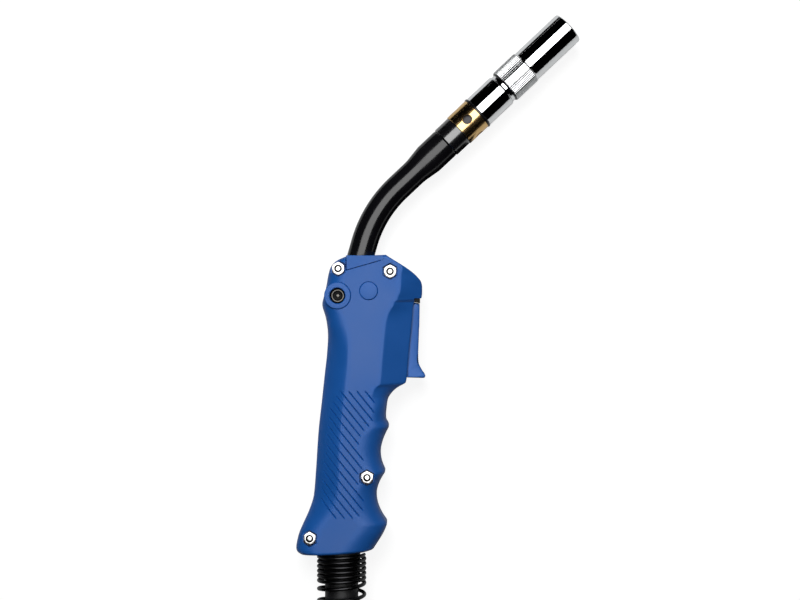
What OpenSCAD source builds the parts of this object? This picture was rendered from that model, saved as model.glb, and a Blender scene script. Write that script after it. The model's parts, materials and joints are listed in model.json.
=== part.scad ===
// Air-cooled MIG welding torch lying on its side, with its cable coiled behind it.
// +X runs from the back of the handle to the trigger, +Y up the handle to the neck and +Z away
// from the surface that the torch lies on. The origin is on the flat far side of the handle.
// All sizes are in millimetres.

/* [Handle] */
// Thickness of the handle across both shells
handle_t = 36; // [36:0.5:40]
// Wall of each shell
wall = 2.5; // [2:0.1:3]
// Width of the rounding along the back of the handle
back_round = 10; // [8:0.5:11]
// Diameter of the raised ring round the hole over the clamp screw
ring_boss_d = 15.6; // [14:0.2:16]
// Diameter of the hole over the clamp screw
ring_hole_d = 9.2; // [8:0.2:10]
// Height of the ring and of the small round pad over the flat of the near shell
pad_rise = 0.6; // [0.3:0.1:1]
// Diameter of the small round pad
pad_d = 10.4; // [8:0.2:12]

/* [Fasteners] */
// Diameter of the screws that hold the shells together
screw_d = 4; // [3:0.5:4]
// Width of their nuts across the flats
nut_af = 7; // [6:0.5:7]
// Thickness of the nuts
nut_t = 3.2; // [2.4:0.2:3.2]
// Diameter of the screw heads
head_d = 7; // [6:0.5:7]
// Height of the screw heads
head_t = 2.6; // [2:0.2:3]
// Width across the flats of the pockets that the nuts drop into
pocket_af = 8.7; // [8:0.1:9]

/* [Trigger] */
// Width of the trigger
trigger_w = 14; // [12:0.5:14]
// Diameter of the pin that the trigger turns on
pivot_d = 3; // [2.5:0.5:4]
// Gap on each side of the trigger in its slot
trigger_gap = 0.4; // [0.3:0.1:0.6]
// Thickness of the switch
switch_t = 6.4; // [5.6:0.2:7]

/* [Neck] */
// Diameter of the insulated neck
neck_d = 16; // [15:0.5:17]
// Diameter of the copper tube inside it
conductor_d = 11; // [10:0.5:11.5]
// Bore of the copper tube, which the shielding gas fills
conductor_bore = 7; // [6:0.5:8]
// Diameter of the wire liner
liner_d = 4.4; // [3.6:0.2:4.8]
// Radius of the neck's main bend
neck_bend_r = 73; // [60:1:90]
// Tilt of the neck where it leaves the handle, in degrees
exit_tilt = 15.8; // [12:0.2:18]
// Tilt of the nozzle, in degrees
nozzle_tilt = 46.7; // [40:0.1:55]
// Straight length between the bend and the taper
neck_straight = 14.6; // [8:0.2:30]
// Length of the taper up to the flare
taper_l = 10.7; // [8:0.1:14]
// Diameter of the flared end of the neck
flare_d = 19.1; // [18:0.1:20]
// Length of the flared end
flare_l = 14.2; // [10:0.2:18]
// Diameter of the insulating sleeve in front of the flare
front_sleeve_d = 19.8; // [19:0.1:20.4]
// Length of that sleeve
front_sleeve_l = 10.6; // [8:0.2:14]

/* [Nozzle] */
// Diameter of the nozzle's barrel
barrel_d = 20.6; // [20:0.1:21.2]
// Length of the barrel in front of the knurl
barrel_l = 34.6; // [30:0.2:45]
// Bore of the nozzle at its mouth
nozzle_bore = 16; // [15:0.2:16.4]
// Diameter over the knurl
knurl_d = 21.6; // [21.4:0.1:22.4]
// Length of the knurl
knurl_l = 17; // [15:0.5:22]
// Number of ribs in the knurl
knurl_ribs = 60; // [40:2:100]
// Diameter of the groove behind the knurl
groove_d = 18.9; // [18.4:0.1:19.4]
// Length of the groove
groove_l = 4; // [3:0.2:5]
// Length of the adaptor behind the groove
adaptor_l = 18.6; // [16:0.2:22]
// Diameter of the insulating flange behind the adaptor
flange_d = 21.5; // [21.2:0.1:22]
// Thickness of that flange
flange_t = 1.2; // [0.8:0.1:2]
// Length of the brass ring with the round holes
gas_ring_l = 14.8; // [12:0.2:18]
// Diameter of the round holes in the brass ring
gas_hole_d = 5.6; // [4:0.2:6]
// Diameter of the contact tip
tip_d = 8; // [7:0.2:8.6]
// Bore of the contact tip, for 1 mm wire
wire_bore = 1.2; // [1:0.1:1.6]
// Depth of the contact tip behind the nozzle's mouth
tip_recess = 3; // [1:0.5:5]

/* [Cable] */
// Diameter of the cable
cable_d = 20; // [19:0.1:20.2]
// Wall of the collar that stands round the cable inside the strain-relief spring
seat_wall = 1.3; // [1.2:0.05:1.4]
// Length of the collar outside the handle
seat_l = 6; // [4:0.5:8]
// Gap between the collar and the strain-relief spring round it
spring_play = 1.25; // [1.25:0.05:1.8]
// Wire of the strain-relief springs
spring_wire_d = 2.3; // [2:0.1:2.3]
// Turns of the spring that lie close together at the handle
close_turns = 6; // [4:1:7]
// Turns of the spring that stand apart
open_turns = 9; // [6:1:9]
// Turns of the spring that lie close together at its free end
end_turns = 3; // [2:1:4]
// Rise of one close turn
close_pitch = 2.85; // [2.8:0.05:3]
// Rise of one open turn
open_pitch = 7; // [5:0.5:7]
// Radius of the coil where the cable enters it, at the cable's centre
coil_r = 130; // [125:1:140]
// Gap between turns of the coiled cable
coil_gap = 0.6; // [0.5:0.1:1]
// Thickness of the strap round the coil
strap_t = 1.2; // [0.8:0.1:1.2]
// Width of the strap round the coil
strap_w = 14; // [10:1:16]

/* [Connector] */
// Diameter of the connector's hood
hood_d = 48; // [47.4:0.2:50]
// Length of the cylindrical part of the hood
hood_l = 34; // [30:1:45]
// Diameter of the coupling nut
coupling_d = 46; // [44:0.2:47]
// Length of the coupling nut
coupling_l = 32; // [28:1:34]
// Number of grip flutes round the coupling nut
coupling_flutes = 16; // [12:1:20]
// Diameter of the brass boss that carries the current
boss_d = 19; // [18:0.2:19.4]
// Length of the boss in front of the insulating disc
boss_l = 16; // [12:0.5:20]
// Diameter of the wire guide tube
guide_d = 10; // [9:0.2:11]
// Diameter of the sprung contact pins
contact_pin_d = 4; // [3:0.2:4.4]
// Diameter of the gas nipple
nipple_d = 6; // [5:0.2:6.4]

/* [Hidden] */

$fn = 64;
// Radial gap of a close fit
slip = 0.05;
// How far a cutting shape runs past the face that it cuts
over = 1;
mid_z = handle_t / 2;
seat_d = cable_d + 2 * seat_wall;
spring_od = seat_d + 2 * (spring_play + spring_wire_d);

// Colours
BLUE = [0.07, 0.25, 0.52];
LIGHT_BLUE = [0.16, 0.40, 0.72];
CHROME = [0.82, 0.84, 0.86];
STEEL = [0.66, 0.66, 0.64];
BRASS = [0.79, 0.60, 0.28];
COPPER = [0.80, 0.45, 0.30];
BLACK = [0.05, 0.05, 0.06];
GREY = [0.20, 0.20, 0.22];
CREAM = [0.86, 0.82, 0.72];

// ---------- Shared shapes ----------

module ring(outer_r, inner_r, length) {
    difference() {
        cylinder(r = outer_r, h = length);
        translate([0, 0, -over]) cylinder(r = inner_r, h = length + 2 * over);
    }
}

module hexagon(across_flats, height) {
    rotate([0, 0, 90]) cylinder(r = across_flats / sqrt(3), h = height, $fn = 6);
}

function unit(v) = v / norm(v);

function heading(path, i) = unit(path[min(i + 1, len(path) - 1)] - path[max(i - 1, 0)]);

// A closed tube of flat sides along a path of points. radius is one number, or one for each
// point, and up is never along the path.
module tube_along(path, radius, sides, up) {
    rings = len(path);
    points = [
        for (i = [0:rings - 1])
            let (ahead = heading(path, i), side = unit(cross(ahead, up)), top = cross(side, ahead))
                for (k = [0:sides - 1])
                    path[i] + (is_list(radius) ? radius[i] : radius)
                        * (cos(360 * k / sides) * side + sin(360 * k / sides) * top)
    ];
    walls = [
        for (i = [0:rings - 2])
            for (k = [0:sides - 1])
                let (a = i * sides + k, b = i * sides + (k + 1) % sides)
                    each [[a, b, a + sides], [b, b + sides, a + sides]]
    ];
    last = (rings - 1) * sides;
    ends = [for (k = [1:sides - 2]) each [[0, k + 1, k], [last, last + k, last + k + 1]]];
    polyhedron(points = points, faces = concat(walls, ends), convexity = 10);
}

// The least gap between parts of one tube that lie at least skip points apart along it.
function least_gap(path, diameter, skip) = min([
    for (i = [0:len(path) - 1 - skip])
        for (j = [i + skip:len(path) - 1])
            norm(path[i] - path[j])
]) - diameter;

// ---------- Centreline of the neck ----------
// A heading is an angle from +Y towards +X, in degrees.

function ahead(p, tilt, run) = p + run * [sin(tilt), cos(tilt)];
function bend_centre(p, tilt, radius) = p + radius * [cos(tilt), -sin(tilt)];
function after_bend(p, tilt, next_tilt, radius) =
    bend_centre(p, tilt, radius) + radius * [-cos(next_tilt), sin(next_tilt)];

cable_x = -14;
cable_top_y = -112;
tube_foot = [-7.3, 9.5];
foot_tilt = atan2(tube_foot.x - cable_x, tube_foot.y - cable_top_y);
foot_run = 16;
low_bend_r = 60;
exit_run = 14;
low_bend_start = ahead(tube_foot, foot_tilt, foot_run);
low_bend_end = after_bend(low_bend_start, foot_tilt, exit_tilt, low_bend_r);
neck_bend_start = ahead(low_bend_end, exit_tilt, exit_run);
neck_bend_end = after_bend(neck_bend_start, exit_tilt, nozzle_tilt, neck_bend_r);

// Places along the nozzle's axis, as distances behind its mouth
knurl_s = barrel_l;
groove_s = knurl_s + knurl_l;
adaptor_s = groove_s + groove_l;
flange_s = adaptor_s + adaptor_l;
gas_ring_s = flange_s + flange_t;
front_sleeve_s = gas_ring_s + gas_ring_l;
flare_s = front_sleeve_s + front_sleeve_l;
taper_s = flare_s + flare_l;
straight_s = taper_s + taper_l;
mouth = ahead(neck_bend_end, nozzle_tilt, neck_straight + straight_s);

// Puts children s behind the mouth, with their +Z along the nozzle towards the mouth.
module behind_mouth(s) {
    translate([mouth.x, mouth.y, mid_z]) rotate([0, 90, 90 - nozzle_tilt]) translate([0, 0, -s])
        children();
}

// Puts children at a plan point in the middle plane, with their +Z along a heading.
module headed(p, tilt) {
    translate([p.x, p.y, mid_z]) rotate([0, 90, 90 - tilt]) children();
}

bend_step = 3.1;

// Points of the neck's centreline: its foot and the bend above it, the main bend, and a place
// behind the mouth.
function bend_points(p, tilt, next_tilt, radius) =
    let (steps = ceil((next_tilt - tilt) / bend_step))
        [for (i = [0:steps]) after_bend(p, tilt, tilt + (next_tilt - tilt) * i / steps, radius)];
function in_mid_plane(points) = [for (p = points) [p.x, p.y, mid_z]];
function behind(s) = ahead(mouth, nozzle_tilt, -s);
foot_bend = bend_points(low_bend_start, foot_tilt, exit_tilt, low_bend_r);
main_points = bend_points(neck_bend_start, exit_tilt, nozzle_tilt, neck_bend_r);

// A rod along the whole neck, from its foot or a point below it to end_s behind the mouth.
module neck_rod(radius, end_s, sides, start = tube_foot) {
    points = concat([start], foot_bend, main_points, [behind(end_s)]);
    tube_along(in_mid_plane(points), radius, sides, [0, 0, 1]);
}

// ---------- Nozzle end ----------

spigot_r = groove_d / 2 - 0.9;
insulator_r = 7.2;
holder_r = 4.9;
nozzle_shoulder_s = knurl_s + 3.4;
// Where the copper tube ends inside the brass ring
tube_front_s = gas_ring_s - 1.4;
holder_thread_r = conductor_bore / 2 - slip;
diffuser_s = knurl_s + 7.4;
diffuser_l = 13;

module knurled_band(outer_d, length, ribs) {
    depth = 0.35;
    chamfer = 0.6;
    r = outer_d / 2;
    intersection() {
        linear_extrude(height = length)
            polygon([
                for (i = [0:2 * ribs - 1])
                    let (a = 180 * i / ribs, rr = i % 2 == 0 ? r : r - depth) rr * [cos(a), sin(a)]
            ]);
        rotate_extrude()
            polygon([
                [0, 0], [r - chamfer, 0], [r + slip, chamfer], [r + slip, length - chamfer],
                [r - chamfer, length], [0, length]
            ]);
    }
}

module nozzle_shell() {
    color(CHROME)
        difference() {
            union() {
                behind_mouth(knurl_s) cylinder(r = barrel_d / 2, h = barrel_l);
                behind_mouth(groove_s) knurled_band(knurl_d, knurl_l, knurl_ribs);
            }
            behind_mouth(groove_s + over) cylinder(r = nozzle_bore / 2, h = groove_s + 2 * over);
            behind_mouth(groove_s + over)
                cylinder(r = spigot_r + slip, h = groove_s + over - nozzle_shoulder_s);
        }
}

module nozzle_adaptor() {
    color(CHROME)
        difference() {
            union() {
                behind_mouth(flange_s) cylinder(r = barrel_d / 2, h = adaptor_l);
                behind_mouth(adaptor_s) cylinder(r = spigot_r, h = adaptor_s - nozzle_shoulder_s - 0.3);
                behind_mouth(adaptor_s) cylinder(r = groove_d / 2, h = groove_l - slip);
            }
            behind_mouth(flange_s + over)
                cylinder(r = insulator_r + slip, h = flange_s + 2 * over - nozzle_shoulder_s);
        }
}

module nozzle_insulator() {
    length = flange_s - diffuser_s - diffuser_l - 0.3;
    color(BLACK)
        difference() {
            union() {
                behind_mouth(gas_ring_s) cylinder(r = flange_d / 2, h = flange_t);
                behind_mouth(flange_s + over / 2) cylinder(r = insulator_r, h = length + over / 2);
            }
            behind_mouth(gas_ring_s + over) cylinder(r = conductor_d / 2 + slip, h = length + 2 * over + flange_t);
        }
}

// Radius at which the gas ring sits on its core, half way out from the copper tube
gas_core_r = (barrel_d + conductor_d) / 4;
gas_hole_turn = -5;

module gas_ring() {
    color(BRASS)
        behind_mouth(front_sleeve_s)
            difference() {
                ring(barrel_d / 2, gas_core_r, gas_ring_l);
                for (turn = [0, 90] + gas_hole_turn * [1, 1])
                    translate([0, 0, gas_ring_l / 2]) rotate([0, 90, turn])
                        cylinder(r = gas_hole_d / 2, h = barrel_d + 2 * over, center = true);
            }
}

module gas_ring_core() {
    color(GREY)
        behind_mouth(front_sleeve_s)
            ring(gas_core_r - slip, conductor_d / 2 + slip, gas_ring_l);
}

module front_sleeve() {
    color(BLACK)
        behind_mouth(flare_s) ring(front_sleeve_d / 2, conductor_d / 2 + slip, front_sleeve_l);
}

tip_l = 33;
tip_thread_l = 8;
tip_thread_r = 2.95;

module contact_tip() {
    nose_l = 6;
    color(COPPER)
        difference() {
            union() {
                behind_mouth(tip_recess + nose_l) cylinder(r1 = tip_d / 2, r2 = tip_d / 2 - 1.6, h = nose_l);
                behind_mouth(tip_recess + tip_l) cylinder(r = tip_d / 2, h = tip_l - nose_l);
                behind_mouth(tip_recess + tip_l + tip_thread_l)
                    cylinder(r = tip_thread_r, h = tip_thread_l);
            }
            behind_mouth(tip_recess + tip_l + tip_thread_l + over)
                cylinder(r = wire_bore / 2, h = tip_l + tip_thread_l + 2 * over);
        }
}

module tip_holder() {
    front_s = tip_recess + tip_l;
    thread_l = 9;
    color(BRASS)
        difference() {
            union() {
                behind_mouth(tube_front_s) cylinder(r = holder_r, h = tube_front_s - front_s);
                behind_mouth(tube_front_s + thread_l) cylinder(r = holder_thread_r, h = thread_l);
            }
            behind_mouth(tube_front_s + thread_l + over)
                cylinder(r = liner_d / 2 + slip, h = tube_front_s + thread_l + over - front_s + over);
            behind_mouth(front_s + tip_thread_l)
                cylinder(r = tip_thread_r + slip, h = tip_thread_l + over);
        }
}

module gas_diffuser() {
    holes = 8;
    hole_d = 1.6;
    color(CREAM)
        behind_mouth(diffuser_s + diffuser_l)
            difference() {
                ring(insulator_r - 0.2, holder_r + slip, diffuser_l);
                for (i = [0:holes - 1])
                    rotate([0, 0, 360 * (i + 0.5) / holes]) translate([0, 0, diffuser_l / 2])
                        rotate([0, 90, 0]) cylinder(r = hole_d / 2, h = insulator_r + over, $fn = 24);
            }
}

// ---------- Neck ----------

jacket_in = 15;

module neck_jacket() {
    low_end = ahead(neck_bend_start, exit_tilt, -jacket_in);
    jacket_sides = 32;
    bore_r = (conductor_d / 2 + slip) / cos(180 / jacket_sides);
    bend_radii = [for (p = main_points) neck_d / 2];
    color(BLACK)
        difference() {
            tube_along(
                in_mid_plane(concat([low_end], main_points, [behind(straight_s), behind(taper_s), behind(flare_s)])),
                concat([neck_d / 2], bend_radii, [neck_d / 2, flare_d / 2, flare_d / 2]), jacket_sides, [0, 0, 1]
            );
            tube_along(
                in_mid_plane(concat([ahead(low_end, exit_tilt, -over)], main_points, [behind(flare_s - over)])),
                bore_r, jacket_sides, [0, 0, 1]
            );
        }
}

module neck_tube() {
    tube_sides = 24;
    color(COPPER)
        difference() {
            neck_rod(conductor_d / 2, tube_front_s, tube_sides);
            neck_rod(conductor_bore / 2, tube_front_s - over, tube_sides, ahead(tube_foot, foot_tilt, -over));
        }
}

// The liner runs from the cable, through the hose and the neck, to the back of the contact tip.
module wire_liner() {
    color(STEEL) neck_rod(liner_d / 2, tip_recess + tip_l + tip_thread_l, 12, ahead(tube_foot, foot_tilt, -hose_span));
}

// ---------- Handle shells ----------
// Each shell is a row of sections across the handle. A section stands on a line that leans by
// section_lean, as the handle's top and bottom edges do, and level is its height where x is 0.

section_lean = 0.0375;
handle_top = 44.2;
handle_bottom = -131.8;

// Back edge of the handle: [level, x]
back_edge = [
    [-131.8, -37.2], [-130.5, -39.9], [-128, -40.8], [-121, -39.6], [-111, -35.4], [-105.6, -33],
    [-97, -30.4], [-83, -29.2], [-59, -27.6], [-40, -25.5], [-26, -24], [-12.4, -22.5],
    [-2, -21.9], [5, -22.5], [9.3, -23.4], [16.5, -25.3], [22, -24], [27.3, -22.8],
    [34, -21.6], [38, -20.4], [41, -18], [43, -15], [44.2, -10.8]
];
// Front edge of the handle without the two lower finger hollows: [level, x]
front_edge = [
    [-131.8, 0], [-130.7, 4.8], [-129, 6], [-117.8, 12.6], [-115, 13.4], [-84.5, 12.5],
    [-58, 14.5], [-55.7, 13.8], [-54, 12.8], [-51.5, 12.6], [-47, 13], [-43, 13.5], [-40.7, 14.1],
    [-38.4, 15.6], [-35.8, 18], [-33.8, 21], [-32.1, 24.4], [-29, 25], [-20, 25.8], [-7, 27],
    [3.7, 28.2], [15.7, 29.4], [17.3, 33.6], [21.5, 34.2], [24.5, 34.2], [27.5, 33.6],
    [30, 31.8], [32.5, 29.4], [44.2, 12.6]
];
// The lower finger hollows: [lower level, upper level, depth]
finger_hollows = [[-115, -84.5, 5.9], [-84.5, -58, 3.9]];
// Width of the front slope, its foot above the parting plane, and how round it is
slope_width = [
    [-131.8, 10], [-118, 9], [-112, 11], [-100, 13], [-92, 12], [-86, 7.5], [-84, 8], [-80, 10],
    [-69, 12.8], [-64, 12.3], [-60.5, 9.5], [-58, 7.5], [-54, 8.5], [-43, 8.5], [-38.4, 10.6],
    [-35.8, 12.5], [-32, 15.2], [3.7, 15.5], [9.3, 14.3], [15.7, 11.5], [17.3, 14.6],
    [21.5, 13.2], [27.5, 12.1], [30, 10.2], [32.5, 7.7], [36.2, 2.2], [38, 0.5], [44.2, 0.4]
];
slope_foot = [
    [-131.8, 7], [-42, 7], [-33, 10], [27.5, 10.4], [30, 11.5], [32.5, 13], [36.2, 16.4],
    [38, 17.6], [44.2, 17.6]
];
slope_roundness = [[-131.8, 1], [-46, 1], [-32, 0], [44.2, 0]];
back_width_share = [[-131.8, 1], [36, 1], [44.2, 0.5]];
levels = [
    -131.8, -130.6, -128, -124.5, -121, -117.8, -115, -112, -108, -104, -99.7, -95, -91, -87.5,
    -84.5, -81.5, -77.5, -71.2, -65, -61, -58, -55.7, -53.5, -47, -43, -40.6, -38.4, -35.8, -33.8,
    -32.1, -29, -20, -7, 3.7, 9.3, 12.5, 15.7, 17.3, 21.5, 24.5, 27.5, 30, 32.5, 36.2, 38, 41, 44.2
];
curve_steps = 4;

function hollow(level) = max([
    for (h = finger_hollows)
        let (u = (2 * level - h[0] - h[1]) / (h[1] - h[0])) abs(u) < 1 ? h[2] * (1 - u * u) : 0
]);

// One section's outline as [x, height over the parting plane], inset from the outer surface.
function section(level, inset) =
    let (
        back = lookup(level, back_edge) + inset,
        front = lookup(level, front_edge) - hollow(level) - inset,
        top = mid_z - inset,
        back_w = back_round * lookup(level, back_width_share),
        outer_foot = lookup(level, slope_foot),
        foot = inset > 0 ? min(outer_foot - 0.6 * inset, top - 0.5) : outer_foot,
        front_w = lookup(level, slope_width),
        roundness = lookup(level, slope_roundness)
    )
    concat(
        [[back, inset > 0 ? -over : 0]],
        [
            for (i = [0:curve_steps])
                let (a = 90 * i / curve_steps)
                    [back + back_w * (1 - cos(a)), mid_z - back_round + (back_round - inset) * sin(a)]
        ],
        [
            for (i = [curve_steps:-1:0])
                let (a = 90 * i / curve_steps, share = i / curve_steps)
                    [
                        front - front_w * (roundness * (1 - cos(a)) + (1 - roundness) * share),
                        foot + (top - foot) * (roundness * sin(a) + (1 - roundness) * share)
                    ]
        ],
        [[front, inset > 0 ? -over : 0]]
    );

// Half of the handle's outer form, or of its hollow, between two levels.
module half_form(inset, low, high) {
    steps = concat([low], [for (l = levels) if (l > low + 0.5 && l < high - 0.5) l], [high]);
    outlines = [for (l = steps) section(l, inset)];
    sides = len(outlines[0]);
    points = [
        for (i = [0:len(steps) - 1])
            for (p = outlines[i])
                [p.x, steps[i] + section_lean * p.x, p.y]
    ];
    walls = [
        for (i = [0:len(steps) - 2])
            for (k = [0:sides - 1])
                let (a = i * sides + k, b = i * sides + (k + 1) % sides)
                    each [[a, a + sides, b], [b, a + sides, b + sides]]
    ];
    last = (len(steps) - 1) * sides;
    ends = [for (k = [1:sides - 2]) each [[0, k, k + 1], [last, last + k + 1, last + k]]];
    polyhedron(points = points, faces = concat(walls, ends), convexity = 10);
}

// Shell screws: [x, y, how far the surface lies below the flat there]
shell_screw_places = [[-15.6, 36.6, 1.8], [15.1, 34.9, 0], [1.5, -86.9, 0.8], [-32.4, -122.8, 0.6]];
boss_r = screw_d / 2 + 1.4;
boss_head_r = pocket_af / sqrt(3) + 1.2;
boss_head_t = 2;
screw_hole_r = screw_d / 2 + 0.15;
nut_depth = nut_t + 0.3;
head_depth = head_t + 0.8;

trigger_pivot = [26.5, 12.5];
pivot_boss_r = pivot_d / 2 + 1.9;
pin_half = 9.2;
slot_half = trigger_w / 2 + trigger_gap;
slot_low = -28.9;
slot_high = 17.2;

clamp_low = 6;
clamp_l = 9.5;
clamp_half_t = 8;
clamp_screw_up = 10.6;
clamp_screw_side = conductor_d / 2 + 3.8;
clamp_screw_d = 4;
clamp_screw_p = ahead(ahead(tube_foot, foot_tilt, clamp_screw_up), foot_tilt - 90, clamp_screw_side);
pad_p = [2.5, 23.4];

switch_corner = [4, -18.5];
switch_size = [10.5, 20];
switch_screw_d = 2;
switch_screw_places = [[7, -0.8], [7, -16.2]];
switch_post_r = 2.6;

return_spring_y = -23.5;
return_spring_r = 2.5;
spring_stop_x = 8;
spring_stop_t = 2;

end_wall = 6;
seat_flange_t = 4;
seat_flange_r = seat_d / 2 + 2;

// What stands inside each hollow shell, from the parting plane or from the piece that it carries.
module shell_insides(near) {
    for (p = shell_screw_places) {
        translate([p.x, p.y, 0]) cylinder(r = boss_r, h = handle_t);
        translate([p.x, p.y, mid_z - p.z - nut_depth - boss_head_t])
            cylinder(r = boss_head_r, h = handle_t);
    }
    translate([trigger_pivot.x, trigger_pivot.y, slot_half]) cylinder(r = pivot_boss_r, h = handle_t);
    translate([spring_stop_x, return_spring_y - return_spring_r - 0.5, 0])
        cube([spring_stop_t, 2 * return_spring_r + 1, handle_t]);
    translate([clamp_screw_p.x, clamp_screw_p.y, clamp_half_t + 0.3])
        cylinder(r = ring_boss_d / 2, h = handle_t);
    if (!near)
        for (p = switch_screw_places)
            translate([p.x, p.y, switch_t / 2 + 0.1]) cylinder(r = switch_post_r, h = handle_t);
    // Sleeve that grips the neck
    translate([0, 0, -mid_z])
        headed(ahead(neck_bend_start, exit_tilt, -jacket_in - 2), exit_tilt)
            cylinder(r = neck_d / 2 + 2.5, h = jacket_in + 2);
}

// The end walls of both shells close round the collar that carries the spring.
module seat_bore() {
    translate([cable_x, handle_bottom + 8, 0]) rotate([90, 0, 0])
        cylinder(r = seat_d / 2 + slip, h = 3 * end_wall);
}

module half_shell(near) {
    difference() {
        union() {
            half_form(0, handle_bottom, handle_top);
            if (near) {
                translate([clamp_screw_p.x, clamp_screw_p.y, clamp_half_t + 0.3])
                    cylinder(r = ring_boss_d / 2, h = mid_z + pad_rise - clamp_half_t - 0.3);
                translate([pad_p.x, pad_p.y, mid_z - wall / 2])
                    cylinder(r = pad_d / 2, h = wall / 2 + pad_rise);
            }
        }
        difference() {
            half_form(wall, handle_bottom + end_wall, handle_top - wall);
            shell_insides(near);
        }
        // Slot that the trigger stands in
        translate([trigger_pivot.x - 6, slot_low, -over])
            cube([20, slot_high - slot_low, slot_half + over]);
        translate([trigger_pivot.x, trigger_pivot.y, -over])
            cylinder(r = pivot_d / 2 + slip, h = pin_half + 0.2 + over);
        // Neck
        translate([0, 0, -mid_z])
            headed(ahead(neck_bend_start, exit_tilt, -2 * jacket_in), exit_tilt)
                cylinder(r = neck_d / 2 + slip, h = 3 * jacket_in);
        seat_bore();
        for (p = shell_screw_places)
            translate([p.x, p.y, -over]) cylinder(r = screw_hole_r, h = handle_t);
        if (near) {
            for (p = shell_screw_places)
                translate([p.x, p.y, mid_z - p.z - nut_depth]) hexagon(pocket_af, handle_t);
            translate([clamp_screw_p.x, clamp_screw_p.y, 0])
                cylinder(r = ring_hole_d / 2, h = handle_t);
        } else {
            for (p = shell_screw_places)
                translate([p.x, p.y, mid_z - p.z - head_depth])
                    cylinder(r = head_d / 2 + 0.4, h = handle_t);
            for (p = switch_screw_places)
                translate([p.x, p.y, 0]) cylinder(r = switch_screw_d / 2 + slip, h = 10);
        }
    }
}

module handle_near_shell() {
    color(BLUE) translate([0, 0, mid_z]) half_shell(true);
}

module handle_far_shell() {
    color(BLUE) translate([0, 0, mid_z]) mirror([0, 0, 1]) half_shell(false);
}

module shell_screws() {
    socket_af = 2.5;
    color(STEEL)
        for (p = shell_screw_places) {
            head_z = p.z + head_depth - head_t;
            nut_top = handle_t - p.z - nut_depth + nut_t;
            translate([p.x, p.y, head_z])
                difference() {
                    union() {
                        cylinder(r = head_d / 2, h = head_t);
                        cylinder(r = screw_d / 2, h = nut_top + 0.3 - head_z);
                    }
                    translate([0, 0, -over]) hexagon(socket_af, 1.6 + over);
                }
        }
}

module shell_nuts() {
    color(STEEL)
        for (p = shell_screw_places)
            translate([p.x, p.y, handle_t - p.z - nut_depth])
                difference() {
                    intersection() {
                        hexagon(nut_af, nut_t);
                        cylinder(r1 = nut_af / sqrt(3), r2 = nut_af / sqrt(3), h = nut_t);
                        translate([0, 0, -4]) cylinder(r1 = nut_af / 2 + 4.5, r2 = nut_af / 2 + 0.1, h = nut_t + 4);
                    }
                    translate([0, 0, -over]) cylinder(r = screw_d / 2 + slip, h = nut_t + 2 * over);
                }
}

// ---------- Inside the handle ----------

module neck_clamp() {
    slit = 1;
    left = clamp_screw_side + 3.8;
    right = conductor_d / 2 + 2.5;
    color(BRASS)
        difference() {
            headed(ahead(tube_foot, foot_tilt, clamp_low), foot_tilt)
                translate([-clamp_half_t, -right, 0]) cube([2 * clamp_half_t, left + right, clamp_l]);
            headed(ahead(tube_foot, foot_tilt, clamp_low - over), foot_tilt)
                cylinder(r = conductor_d / 2 + slip, h = clamp_l + 2 * over);
            headed(ahead(tube_foot, foot_tilt, clamp_low - over), foot_tilt)
                translate([-slit / 2, 0, 0]) cube([slit, left + over, clamp_l + 2 * over]);
            translate([clamp_screw_p.x, clamp_screw_p.y, 0])
                cylinder(r = clamp_screw_d / 2 + slip, h = handle_t);
        }
}

module neck_clamp_screw() {
    head_r = ring_hole_d / 2 - 0.4;
    head_h = 4;
    color(STEEL)
        translate([clamp_screw_p.x, clamp_screw_p.y, mid_z - clamp_half_t])
            difference() {
                union() {
                    cylinder(r = clamp_screw_d / 2, h = 2 * clamp_half_t);
                    translate([0, 0, 2 * clamp_half_t]) cylinder(r = head_r, h = head_h);
                }
                translate([0, 0, 2 * clamp_half_t + head_h - 2.2]) hexagon(3, 3);
            }
}

// Distance from the foot of the copper tube down to the top of the cable
hose_span = norm(tube_foot - [cable_x, cable_top_y]);
block_top = clamp_low - 0.5;
block_low = -18;
block_r = 8.5;
barb_r = 4;
barb_l = 12;
hose_r = 6;
braid_r = 7.6;

module power_block() {
    color(BRASS)
        difference() {
            headed(ahead(tube_foot, foot_tilt, block_low), foot_tilt) {
                cylinder(r = block_r, h = block_top - block_low);
                translate([0, 0, -barb_l]) cylinder(r = barb_r, h = barb_l);
            }
            headed(tube_foot, foot_tilt) cylinder(r = conductor_d / 2 + slip, h = block_top + over);
            headed(ahead(tube_foot, foot_tilt, block_low - barb_l - over), foot_tilt)
                cylinder(r = liner_d / 2 + 0.4, h = barb_l - block_low + 2 * over);
        }
}

module inner_hose() {
    color(GREY)
        headed([cable_x, cable_top_y], foot_tilt) ring(hose_r, barb_r + slip, hose_span + block_low);
}

module conductor_braid() {
    color(COPPER)
        headed([cable_x, cable_top_y], foot_tilt) ring(braid_r, hose_r + slip, hose_span + block_low);
}

ferrule_l = 8;

module crimp_ferrule() {
    color(STEEL)
        translate([cable_x, cable_top_y, mid_z]) rotate([90, 0, 0])
            ring(cable_d / 2 + 1.6, cable_d / 2 + slip, ferrule_l);
}

module cable_in_handle() {
    color(BLACK)
        translate([cable_x, cable_top_y - 0.3, mid_z]) rotate([90, 0, 0])
            cylinder(r = cable_d / 2, h = cable_top_y - 0.3 - cord_start_y);
}

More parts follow.
